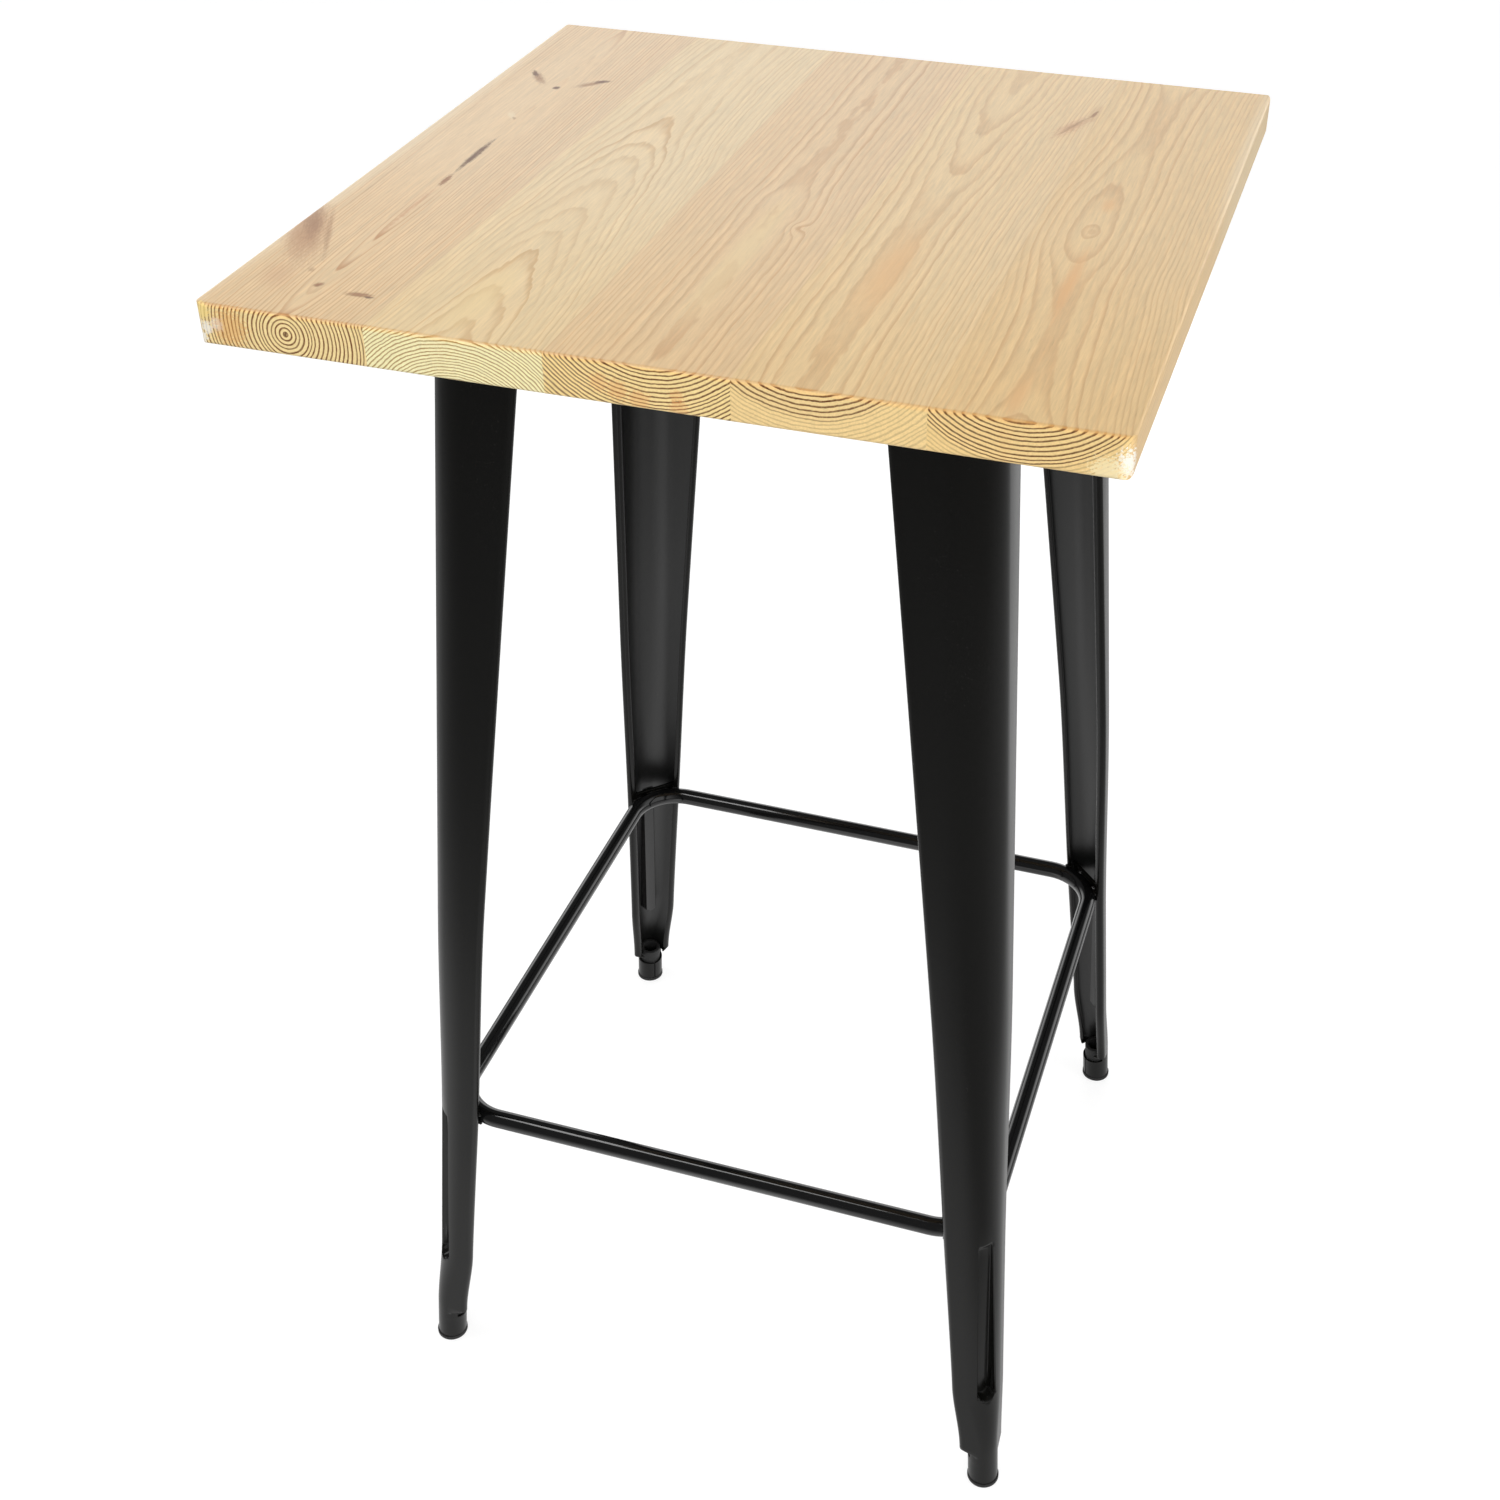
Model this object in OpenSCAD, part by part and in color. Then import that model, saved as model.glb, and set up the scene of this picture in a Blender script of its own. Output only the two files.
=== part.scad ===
// Pub table: a square edge-glued pine top on four splayed legs of pressed sheet steel.
// A ring of bent tube is the footrest, a folded steel frame carries the top, and
// each leg stands on a rubber foot. The origin is on the floor, below the middle
// of the top. +Z is up and the front of the table faces -Y.

/* [Top] */
// Side of the square top
top_w = 600; // [560:5:700]
// Thickness of the top
top_t = 28; // [24:1:40]
// Height of the top's upper face above the floor
table_h = 1060; // [900:10:1150]
// Corner radius of the top in plan
top_corner_r = 9; // [4:1:20]
// Radius worked along the top's edges
top_arris_r = 2.5; // [1:0.5:4]

/* [Legs] */
// Width across the legs' outer faces, just under the top
leg_top_span = 397; // [370:1:420]
// Distance between the middles of two neighbouring feet
foot_span = 520; // [490:1:550]
// Thickness of the leg's sheet steel
leg_t = 1.4; // [1:0.1:2]
// Width of each of a leg's two faces at its top
leg_top_face = 75.5; // [70:0.5:84]
// Width of each face where the leg starts to draw in to its round end
leg_low_face = 38.2; // [35:0.1:44]
// Width of each face at the end of its hem
leg_end_face = 32; // [30:0.5:36]
// Bow of the leg's taper, where 1 is a straight edge
leg_taper_bow = 1.12; // [1:0.02:1.5]
// How far the leg's outer face bows out at mid height
leg_bow = 2.8; // [0:0.2:6]
// Outer radius of the leg's rounded corner in its upper half
leg_corner_r = 38; // [30:1:42]
// Outer radius of the leg's rounded corner where it starts to draw in
leg_low_corner_r = 25; // [20:1:30]
// Outer radius of the hem rolled along each free edge
hem_r = 4.5; // [3.5:0.25:5]
// Height where the leg starts to draw in to its round end
flare_z = 120; // [105:1:160]

/* [Groove in the leg's corner] */
// Height of the groove's open lower end
groove_lo = 108; // [95:1:125]
// Height of the groove's upper end
groove_hi = 288; // [240:1:310]
// Depth of the groove at its lower end
groove_deep = 10; // [6:0.5:12]
// Depth of the groove below its upper ramp
groove_shallow = 3; // [2:0.5:5]
// Width of the groove's floor
groove_floor_w = 11; // [8:0.5:14]
// Depth of the rounded lip below the groove's open end
groove_lip = 5; // [3:0.5:7]

/* [Feet] */
// Outer diameter of the leg's round end
tube_d = 26; // [24:0.5:30]
// Height where the hems stop and the round end begins
socket_z = 42; // [40:1:50]
// Height up to which the sheet wraps all the way round
wrap_top = 30; // [22:1:32]
// Diameter of the rubber foot's rim
foot_rim_d = 28; // [27:0.5:34]
// Height of the rubber foot's rim
foot_rim_h = 4; // [3:0.5:6]
// Height of the whole rubber foot
foot_h = 45; // [30:1:50]
// Diameter of the hollow in the rubber foot
foot_bore_d = 15; // [10:0.5:17]

/* [Footrest] */
// Height of the footrest's centre line
ring_z = 288.5; // [260:0.5:400]
// Outer diameter of the footrest tube
ring_d = 16; // [12:0.5:18]
// Wall of the footrest tube
ring_wall = 1.2; // [1:0.1:2]
// Centre line radius of the footrest's bends
ring_bend_r = 45; // [30:1:60]
// Thickness of the flat bracket in each leg
bracket_t = 3; // [2:0.5:5]
// Height of the bracket
bracket_h = 16; // [12:1:22]

/* [Frame under the top] */
// Height of the frame's rails
rail_h = 45; // [38:1:50]
// Thickness of the rails' sheet steel
rail_t = 2; // [1.5:0.1:2.5]
// Width of a rail's upper flange
rail_flange = 32; // [28:1:40]
// Width of a rail's lower lip
rail_lip = 10; // [6:1:14]
// Thickness of the corner plates
plate_t = 3; // [2:0.5:4]
// Length of a corner plate along each rail, from the corner's bend
plate_reach = 45; // [36:1:55]

/* [Fasteners] */
// Diameter of the leg bolts
bolt_d = 6; // [5:0.5:7]
// Diameter of a bolt's domed head
bolt_head_d = 10.5; // [9.5:0.5:13]
// Height of a bolt's head
bolt_head_h = 3.3; // [2.5:0.1:4]
// Outer diameter of the washers
washer_d = 12; // [11:0.5:14]
// Thickness of the washers
washer_t = 1.2; // [1:0.1:2]
// Width across the flats of the nuts
nut_af = 10; // [9:0.5:11]
// Height of the nuts
nut_h = 5; // [4:0.5:6]
// Diameter of the wood screws' shanks
screw_d = 4; // [3:0.5:4.5]
// Diameter of the wood screws' heads
screw_head_d = 8; // [7:0.5:9]
// Height of the wood screws' heads
screw_head_h = 2.4; // [2:0.1:3]
// Length of a wood screw below its head
screw_len = 20; // [14:1:22]

/* [Hidden] */

$fn = 48;

// Gap left where a weld or a tight seat closes the joint on the real table
seat_gap = 0.2;
// Radial clearance of a screw or bolt in its hole
hole_clear = 0.2;
// Radial clearance of the rubber foot in the leg's round end
foot_clear = 0.4;
// Radial clearance of the bolts' threads in the nuts
thread_clear = 0.1;
// Overshoot of a cutting tool past the face it cuts
cut = 1;

stave_count = 5;
stave_w = top_w / stave_count;
under_z = table_h - top_t;

// Legs: the outer face leans out as it goes down
tube_r = tube_d / 2;
foot_out = foot_span / 2;
face_top = leg_top_span / 2;
lean = (foot_out + tube_r - face_top) / under_z;
bow_z = under_z / 2;
bow_low_z = under_z / 4;
top_lean = lean + leg_bow / (under_z - bow_z);
lean_angle = atan(top_lean);
hem_steps = 6;
hem_turn = 180;
half_wrap = 45;
full_wrap = 134;
end_drop = 5;
wrap_drop = 2.5;
wrap_rows = 5;
min_flat = 0.5;
flare_rows = 8;
straight_rows = 11;
row_min = 0.4;

// Groove: its sides spread by groove_bevel for each unit of depth, and its mouth and
// floor take up at most these shares of the corner's radius
groove_ledge = 3;
groove_ramp = 8;
groove_settle = 30;
groove_bevel = 0.35;
groove_side = 0.7;
groove_mouth_max = 0.65;
groove_floor_max = 0.5;

function lerp(a, b, u) = a + (b - a) * u;
function clamp01(u) = max(0, min(1, u));
function to_hundredth(v) = floor(v * 100) / 100;
function ease(u) = u * u * (3 - 2 * u);
function flare_share(z) = ease(clamp01((flare_z - z) / (flare_z - socket_z)));
function end_share(z) = clamp01((socket_z - z) / end_drop);
function wrap_share(z) = clamp01((wrap_top - z) / wrap_drop);

// Distance from the table's middle plane to the leg's outer face
function straight_face(z) = face_top + (under_z - z) * top_lean;
function face(z) =
    z > bow_z ? straight_face(z)
    : foot_out + tube_r - z * lean + leg_bow * ease(clamp01((z - bow_low_z) / (bow_z - bow_low_z)));

// Width of one face, from the outer corner to its free edge
function taper_share(z) = pow(clamp01((z - flare_z) / (under_z - flare_z)), leg_taper_bow);
function face_w(z) =
    z < socket_z ? lerp(leg_end_face, tube_d + min_flat, end_share(z))
    : z < flare_z ? lerp(leg_low_face, leg_end_face, flare_share(z))
    : lerp(leg_low_face, leg_top_face, taper_share(z));

function hem_radius(z) = lerp(hem_r, tube_r, end_share(z));
function hem_sweep(z) =
    lerp(lerp(hem_turn, half_wrap, end_share(z)), full_wrap, wrap_share(z));
function corner_radius(z) =
    z < flare_z ? lerp(leg_low_corner_r, tube_r, flare_share(z))
    : lerp(leg_low_corner_r, leg_corner_r, clamp01((z - flare_z) / (bow_z - flare_z)));

// Groove: a ramp at its upper end and a steep, rounded ledge at its lower end,
// where the middle of the floor reaches lower than its edges
groove_lows = [for (share = [0.4, 0.85, 1, 0.85, 0.4]) groove_lo - groove_lip * share];
groove_first = 4;
function groove_slope_depth(z) =
    lerp(groove_deep, groove_shallow, (z - groove_lo) / (groove_hi - groove_ramp - groove_lo));
function groove_depth(z, low) =
    groove_slope_depth(z) * clamp01((z - low) / groove_ledge) * clamp01((groove_hi - z) / groove_ramp);
function groove_mouth(z) =
    groove_floor_w / 2 + groove_side + groove_bevel * groove_slope_depth(min(z, groove_hi));
function groove_share(z) = clamp01((z - groove_lo + groove_lip + groove_settle) / groove_settle);

// Angles of the points round the leg's corner: evenly spread at the round end, and
// gathered at the groove's sides and floor above it
function corner_angles(z) =
    let (mouth = asin(min(groove_mouth_max, groove_mouth(z) / corner_radius(z))),
         floor_edge = asin(min(groove_floor_max, groove_floor_w / 2 / corner_radius(z))),
         offsets = [45, lerp(45, mouth, 1 / 3), lerp(45, mouth, 2 / 3), mouth,
                    floor_edge, floor_edge / 2, 0],
         last = len(offsets) - 1,
         spread = [for (i = [0:last]) lerp(45 * (1 - i / last), offsets[i], groove_share(z))])
    concat([for (i = [0:last]) 45 + spread[i]], [for (i = [last - 1:-1:0]) 45 - spread[i]]);

// One line round the leg at height z, set in from the outer surface by inset
function leg_line(z, inset) =
    let (f = face(z), r = corner_radius(z), hr = hem_radius(z), turn = hem_sweep(z),
         hem = f - face_w(z) + hr,
         angles = corner_angles(z),
         last = len(angles) - 1)
    concat(
        [for (i = [0:hem_steps])
            let (a = 90 + turn * (1 - i / hem_steps))
            [hem + (hr - inset) * cos(a), f - hr + (hr - inset) * sin(a), z]],
        [for (i = [0:last])
            let (a = angles[i],
                 g = i - groove_first,
                 in_groove = g >= 0 && g < len(groove_lows),
                 push = in_groove ? groove_depth(z, groove_lows[g]) / sqrt(2) : 0)
            [f - r + (r - inset) * cos(a) - push, f - r + (r - inset) * sin(a) - push, z]],
        [for (i = [0:hem_steps])
            let (a = -turn * i / hem_steps)
            [f - hr + (hr - inset) * cos(a), hem + (hr - inset) * sin(a), z]]
    );

// Heights of the leg's rows of points, in rising order
function sorted(v) =
    len(v) <= 1 ? v
    : let (pivot = v[floor(len(v) / 2)])
      concat(sorted([for (x = v) if (x < pivot) x]),
             [for (x = v) if (x == pivot) x],
             sorted([for (x = v) if (x > pivot) x]));
leg_levels = sorted(concat(
    [foot_rim_h, socket_z - end_drop, socket_z - end_drop * 0.6, socket_z - end_drop * 0.25],
    [for (i = [0:wrap_rows]) wrap_top - wrap_drop * i / wrap_rows],
    [for (i = [0:flare_rows]) lerp(socket_z, flare_z, i / flare_rows)],
    groove_lows,
    [for (low = groove_lows) low + groove_ledge],
    [groove_hi - groove_ramp, groove_hi],
    [for (i = [1:straight_rows]) lerp(flare_z, under_z, i / straight_rows)]
));
leg_rows = [for (i = [0:len(leg_levels) - 1])
    if (i == 0 || leg_levels[i] - leg_levels[i - 1] > row_min) leg_levels[i]];

// Footrest: each bend nests between a leg's two hems. hem_reach is how far out on the
// diagonal the middles of the hems lie, and hem_aside how far to each side of it
ring_r = ring_d / 2;
function hem_reach(z) = (2 * face(z) - face_w(z)) / sqrt(2);
function hem_aside(z) = (face_w(z) - 2 * hem_r) / sqrt(2);
bracket_low = ring_z - bracket_h / 2;
bracket_high = ring_z + bracket_h / 2;
bracket_tilt = atan((hem_reach(bracket_low) - hem_reach(bracket_high)) / bracket_h);
ring_nest = ring_bend_r + ring_r / cos(bracket_tilt) + seat_gap + hem_r;
ring_diagonal = hem_reach(ring_z) - sqrt(pow(ring_nest, 2) - pow(hem_aside(ring_z), 2));
ring_straight = to_hundredth(ring_diagonal / sqrt(2));
ring_out = ring_straight + ring_bend_r;

// Brackets: each is seated behind a bend and reaches from face to face inside the leg
bracket_seat = ring_straight * sqrt(2) + ring_bend_r + (ring_r + seat_gap) / cos(bracket_tilt);
function bracket_back(z) = bracket_seat + bracket_t / cos(bracket_tilt) + (ring_z - z) * tan(bracket_tilt);
function bracket_side(z) = (face(z) - leg_t - seat_gap) * sqrt(2) - bracket_back(z);
bracket_len = 2 * min(bracket_side(bracket_low), bracket_side(bracket_high));

// Frame under the top, clear of the hems, which are notched round it
rail_low = under_z - rail_h;
corner_mid = face_top - leg_corner_r;
rail_end_gap = 2.5;
rail_end = corner_mid - rail_end_gap;
rail_in = face_top - leg_t - rail_flange;
notch_edge = face_top - leg_top_face + 2 * hem_r;
notch_clear = 3;
notch_low = rail_low - notch_clear;
plate_edge = face_top - leg_t - rail_t - seat_gap;
plate_in = corner_mid - plate_reach;

// Bolts through each leg face and its rail
bolt_along = (notch_edge + corner_mid) / 2;
bolt_z = under_z - rail_h / 2;
bolt_seat = leg_t + rail_t + seat_gap;
bolt_tail = 2;
bolt_hole_d = bolt_d + 2 * hole_clear;

// Wood screws: along each flange and in each corner plate
screw_inset = 7.5;
plate_screw_inset = 10;
corner_screw_inset = 8;
screw_line = rail_in + screw_inset;
flange_screw_at = 45;
plate_screw_at = plate_in + plate_screw_inset;
corner_screw_at = corner_mid - corner_screw_inset;
screw_tip = under_z + screw_len;
flange_points = [for (i = [0:3], s = [-1, 1])
    turned([s * flange_screw_at, screw_line], 90 * i)];
plate_points = [for (i = [0:3], p = [
        [plate_screw_at, screw_line], [screw_line, plate_screw_at], [corner_screw_at, corner_screw_at]
    ]) turned(p, 90 * i)];
function turned(p, a) = [p.x * cos(a) - p.y * sin(a), p.x * sin(a) + p.y * cos(a)];

module rounded_square(w, d, r) {
    square([w - 2 * r, d], center = true);
    square([w, d - 2 * r], center = true);
    for (sx = [-1, 1], sy = [-1, 1])
        translate([sx * (w / 2 - r), sy * (d / 2 - r)]) circle(r = r);
}

module round_bar(d, h) {
    cylinder(d = d, h = h);
}

// Puts a back-side or back-right piece round the table: turns of 90 degrees
module turn(i) {
    rotate([0, 0, 90 * i]) children();
}

// Frame on a leg's +Y face: +Y points out of the face and +Z runs up it
module on_face(x, z) {
    translate([x, straight_face(z), z]) rotate([lean_angle, 0, 0]) children();
}

// ---- Top -------------------------------------------------------------------

module whole_top() {
    intersection() {
        translate([0, 0, under_z]) linear_extrude(top_t) rounded_square(top_w, top_w, top_corner_r);
        translate([0, 0, under_z + top_t / 2]) rotate([90, 0, 0])
            linear_extrude(top_w, center = true) rounded_square(top_w, top_t, top_arris_r);
        translate([0, 0, under_z + top_t / 2]) rotate([90, 0, 90])
            linear_extrude(top_w, center = true) rounded_square(top_w, top_t, top_arris_r);
    }
}

// One board of the top, counted from the left, with its pilot holes for the wood screws
module stave(i) {
    left = -top_w / 2 + i * stave_w;
    color(i % 2 == 0 ? "burlywood" : "wheat")
    difference() {
        intersection() {
            whole_top();
            translate([left, -top_w / 2, under_z]) cube([stave_w, top_w, top_t]);
        }
        for (p = concat(flange_points, plate_points))
            if (p.x > left && p.x < left + stave_w)
                translate([p.x, p.y, under_z - cut])
                    round_bar(screw_d + 2 * hole_clear, screw_len + cut);
    }
}

// ---- Legs ------------------------------------------------------------------

module leg_sheet() {
    rings = [for (z = leg_rows)
        let (outer = leg_line(z, 0), inner = leg_line(z, leg_t))
        concat(outer, [for (i = [len(inner) - 1:-1:0]) inner[i]])];
    n = len(rings[0]);
    half = n / 2;
    rows = len(rings);
    sides = [for (j = [0:rows - 2], i = [0:n - 1])
        let (a = j * n + i, b = j * n + (i + 1) % n)
        each [[a, b + n, b], [a, a + n, b + n]]];
    lower = [for (i = [0:half - 2]) each
        [[i, i + 1, n - 2 - i], [i, n - 2 - i, n - 1 - i]]];
    upper = [for (f = lower) [for (k = [2:-1:0]) f[k] + (rows - 1) * n]];
    polyhedron(points = [for (r = rings) each r], faces = concat(sides, lower, upper));
}

// Clears one hem where the frame passes behind it, and drills the face for its bolt
module leg_top_cuts() {
    hem_start = face_top - leg_top_face - 2 * hem_r;
    translate([hem_start, face_top - 3 * hem_r, notch_low])
        cube([notch_edge - hem_start, 6 * hem_r, under_z - notch_low + cut]);
    on_face(bolt_along, bolt_z) rotate([90, 0, 0])
        translate([0, 0, -cut - leg_t]) round_bar(bolt_hole_d, 2 * cut + 3 * leg_t);
}

module leg(i) {
    color([0.06, 0.06, 0.06])
    turn(i) difference() {
        leg_sheet();
        leg_top_cuts();
        mirror([1, -1, 0]) leg_top_cuts();
    }
}

// Rubber foot: a flat rim under the leg's end and a hollow plug up inside it
module foot(i) {
    plug_r = tube_r - leg_t - foot_clear;
    plug_lean = atan(lean * sqrt(2));
    plug_from = foot_rim_h / 2 + plug_r * sin(plug_lean);
    rim_at = face(foot_rim_h) - tube_r;
    color([0.12, 0.12, 0.12])
    turn(i) difference() {
        union() {
            translate([rim_at, rim_at, 0]) round_bar(foot_rim_d, foot_rim_h);
            plug_axis(plug_lean) translate([0, 0, plug_from])
                round_bar(2 * plug_r, foot_h - plug_from);
        }
        plug_axis(plug_lean) translate([0, 0, 2 * foot_rim_h])
            round_bar(foot_bore_d, foot_h);
    }
}

module plug_axis(a) {
    translate([foot_out, foot_out, 0]) rotate([0, 0, 45]) rotate([0, -a, 0]) children();
}

// ---- Footrest --------------------------------------------------------------

module ring_section() {
    difference() {
        circle(d = ring_d);
        circle(d = ring_d - 2 * ring_wall);
    }
}

// A straight tube along the back and the bend at its right end
module footrest(i) {
    color([0.06, 0.06, 0.06])
    turn(i) translate([0, 0, ring_z]) {
        translate([-ring_straight, ring_out, 0]) rotate([0, 90, 0])
            linear_extrude(2 * ring_straight) ring_section();
        translate([ring_straight, ring_straight, 0])
            rotate_extrude(angle = 90) translate([ring_bend_r, 0]) ring_section();
    }
}

// Flat bar across the inside of a leg, from face to face, behind the footrest's bend
module bracket(i) {
    color([0.06, 0.06, 0.06])
    turn(i) rotate([0, 0, 45]) translate([bracket_seat, 0, ring_z])
        rotate([0, -bracket_tilt, 0])
            translate([0, -bracket_len / 2, -bracket_h / 2])
                cube([bracket_t, bracket_len, bracket_h]);
}

// ---- Frame under the top ---------------------------------------------------

function web_out(z) = straight_face(z) - leg_t;

// Folded rail along the back: a leaning web, an upper flange and a lower lip
module rail(i) {
    flange_low = under_z - rail_t;
    lip_top = rail_low + rail_t;
    color([0.1, 0.1, 0.1])
    turn(i) difference() {
        union() {
            translate([-rail_end, 0, 0]) rotate([90, 0, 90])
                linear_extrude(2 * rail_end) polygon([
                    [web_out(under_z), under_z],
                    [web_out(rail_low), rail_low],
                    [web_out(rail_low) - rail_t, rail_low],
                    [web_out(under_z) - rail_t, under_z]
                ]);
            translate([-plate_in, rail_in, flange_low])
                cube([2 * plate_in, rail_flange - rail_t / 2, rail_t]);
            translate([-plate_in, web_out(rail_low) - rail_lip, rail_low])
                cube([2 * plate_in, rail_lip - rail_t / 2, lip_top - rail_low]);
        }
        for (s = [-1, 1]) {
            on_face(s * bolt_along, bolt_z) rotate([90, 0, 0])
                round_bar(bolt_hole_d, 4 * (leg_t + rail_t));
            translate([s * flange_screw_at, screw_line, flange_low - cut])
                round_bar(screw_d + 2 * hole_clear, rail_t + 2 * cut);
        }
    }
}

// Flat plate that joins two rails at a corner of the frame
module corner_plate(i) {
    color([0.1, 0.1, 0.1])
    turn(i) translate([0, 0, under_z - plate_t]) difference() {
        union() {
            linear_extrude(plate_t) polygon([
                [plate_in, rail_in], [plate_in, plate_edge], [corner_mid, plate_edge],
                [plate_edge, corner_mid], [plate_edge, plate_in], [rail_in, plate_in]
            ]);
            translate([corner_mid, corner_mid, 0]) round_bar(2 * (plate_edge - corner_mid), plate_t);
        }
        for (p = [[plate_screw_at, screw_line], [screw_line, plate_screw_at],
                  [corner_screw_at, corner_screw_at]])
            translate([p.x, p.y, -cut]) round_bar(screw_d + 2 * hole_clear, plate_t + 2 * cut);
    }
}

// ---- Fasteners -------------------------------------------------------------

// Puts a piece at each bolt, with +Z pointing out of the leg's face
module at_bolts() {
    for (i = [0:3], s = [-1, 1])
        turn(i) on_face(s * bolt_along, bolt_z) rotate([-90, 0, 0]) children();
}

module domed_head(d, h) {
    dome_r = (d * d / 4 + h * h) / (2 * h);
    intersection() {
        round_bar(d, h);
        translate([0, 0, h - dome_r]) sphere(r = dome_r);
    }
}

module leg_bolts() {
    socket_af = 4;
    length = bolt_seat + washer_t + nut_h + bolt_tail;
    color("silver") at_bolts() {
        translate([0, 0, seat_gap / 2]) difference() {
            domed_head(bolt_head_d, bolt_head_h);
            translate([0, 0, bolt_head_h / 2])
                cylinder(d = socket_af / cos(30), h = bolt_head_h, $fn = 6);
        }
        translate([0, 0, -length]) round_bar(bolt_d, length + bolt_head_h / 4);
    }
}

module leg_bolt_washers() {
    color("silver") at_bolts() translate([0, 0, -bolt_seat - washer_t]) difference() {
        round_bar(washer_d, washer_t);
        translate([0, 0, -cut]) round_bar(bolt_hole_d, washer_t + 2 * cut);
    }
}

module leg_bolt_nuts() {
    color("silver") at_bolts() translate([0, 0, -bolt_seat - washer_t - nut_h]) difference() {
        cylinder(d = nut_af / cos(30), h = nut_h, $fn = 6);
        translate([0, 0, -cut]) round_bar(bolt_d + 2 * thread_clear, nut_h + 2 * cut);
    }
}

// A screw up into the top, its head against a sheet of the given thickness
module wood_screw(sheet) {
    slot = screw_d / 4;
    head_low = under_z - sheet - screw_head_h;
    difference() {
        translate([0, 0, head_low]) round_bar(screw_head_d, screw_head_h);
        for (a = [0, 90])
            rotate([0, 0, a]) translate([-screw_head_d / 4, -slot / 2, head_low - cut])
                cube([screw_head_d / 2, slot, cut + screw_head_h / 2]);
    }
    translate([0, 0, under_z - sheet])
        round_bar(screw_d, screw_tip - (under_z - sheet) - seat_gap);
}

module wood_screws() {
    color("silver") {
        for (p = flange_points) translate([p.x, p.y, 0]) wood_screw(rail_t);
        for (p = plate_points) translate([p.x, p.y, 0]) wood_screw(plate_t);
    }
}

stave(0);  // top_stave_1
stave(1);  // top_stave_2
stave(2);  // top_stave_3
stave(3);  // top_stave_4
stave(4);  // top_stave_5
leg(0);  // leg_back_right
leg(1);  // leg_back_left
leg(2);  // leg_front_left
leg(3);  // leg_front_right
foot(0);  // foot_back_right
foot(1);  // foot_back_left
foot(2);  // foot_front_left
foot(3);  // foot_front_right
footrest(0);  // footrest_back
footrest(1);  // footrest_left
footrest(2);  // footrest_front
footrest(3);  // footrest_right
bracket(0);  // bracket_back_right
bracket(1);  // bracket_back_left
bracket(2);  // bracket_front_left
bracket(3);  // bracket_front_right
rail(0);  // rail_back
rail(1);  // rail_left
rail(2);  // rail_front
rail(3);  // rail_right
corner_plate(0);  // corner_plate_back_right
corner_plate(1);  // corner_plate_back_left
corner_plate(2);  // corner_plate_front_left
corner_plate(3);  // corner_plate_front_right
leg_bolts();
leg_bolt_washers();
leg_bolt_nuts();
wood_screws();
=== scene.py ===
# Pub table: an edge-glued pine top on four pressed steel legs, a footrest of bent
# tube, a folded steel frame under the top and a rubber foot in each leg.
# Lengths are in metres in the table's own frame, and the pressed and folded shapes
# are worked out in millimetres: origin on the floor below the middle of the top,
# +Z up, the front of the table facing -Y.
import math
import random

import bmesh
import bpy
import numpy as np
from mathutils import Matrix, Vector


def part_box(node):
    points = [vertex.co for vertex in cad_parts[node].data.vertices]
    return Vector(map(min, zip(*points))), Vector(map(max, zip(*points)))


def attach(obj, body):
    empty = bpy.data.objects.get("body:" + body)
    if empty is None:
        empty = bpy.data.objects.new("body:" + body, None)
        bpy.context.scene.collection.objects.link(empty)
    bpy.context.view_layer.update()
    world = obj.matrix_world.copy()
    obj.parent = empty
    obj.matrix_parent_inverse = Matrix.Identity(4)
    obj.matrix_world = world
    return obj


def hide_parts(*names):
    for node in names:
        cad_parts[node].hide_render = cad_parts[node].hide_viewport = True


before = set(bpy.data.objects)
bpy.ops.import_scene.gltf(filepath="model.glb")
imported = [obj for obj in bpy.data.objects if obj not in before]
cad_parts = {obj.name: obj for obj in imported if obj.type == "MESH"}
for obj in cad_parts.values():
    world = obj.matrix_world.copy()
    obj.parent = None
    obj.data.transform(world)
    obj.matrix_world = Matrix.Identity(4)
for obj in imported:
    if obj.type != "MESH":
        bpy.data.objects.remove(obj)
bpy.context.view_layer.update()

MM = 0.001
CORNERS = ["back_right", "back_left", "front_left", "front_right"]
SIDES = ["back", "left", "front", "right"]

# ---- Sizes in millimetres ----------------------------------------------------

TABLE_H = 1060
TOP_T = 28
TOP_HALF = 300
UNDER_Z = TABLE_H - TOP_T

LEG_TOP_SPAN = 397
FOOT_SPAN = 520
LEG_T = 1.4
LEG_TOP_FACE = 75.5
LEG_LOW_FACE = 38.2
LEG_END_FACE = 32
LEG_TAPER_BOW = 1.12
LEG_BOW = 2.8
LEG_CORNER_R = 38
LEG_LOW_CORNER_R = 25
HEM_R = 4.5
FLARE_Z = 120

GROOVE_LO = 108
GROOVE_HI = 288
GROOVE_DEEP = 10
GROOVE_SHALLOW = 3
GROOVE_FLOOR_W = 11
GROOVE_LIP = 5
GROOVE_LEDGE = 3
GROOVE_LEDGE_CURVE = 0.6
GROOVE_RAMP = 8
GROOVE_SETTLE = 30
GROOVE_BEVEL = 0.35
GROOVE_SIDE = 0.7

LEG_END_R = 13
SOCKET_Z = 42
WRAP_TOP = 30
END_DROP = 5
WRAP_DROP = 2.5
HEM_TURN = 180
HALF_WRAP = 45
FULL_WRAP = 134
MIN_FLAT = 0.5
FOOT_RIM_R = 14
FOOT_RIM_H = 4
FOOT_H = 45
FOOT_BORE_R = 7.5
FOOT_BORE_FLOOR = 8
FOOT_BEND_H = 6
FOOT_CLEAR = 0.4

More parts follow.
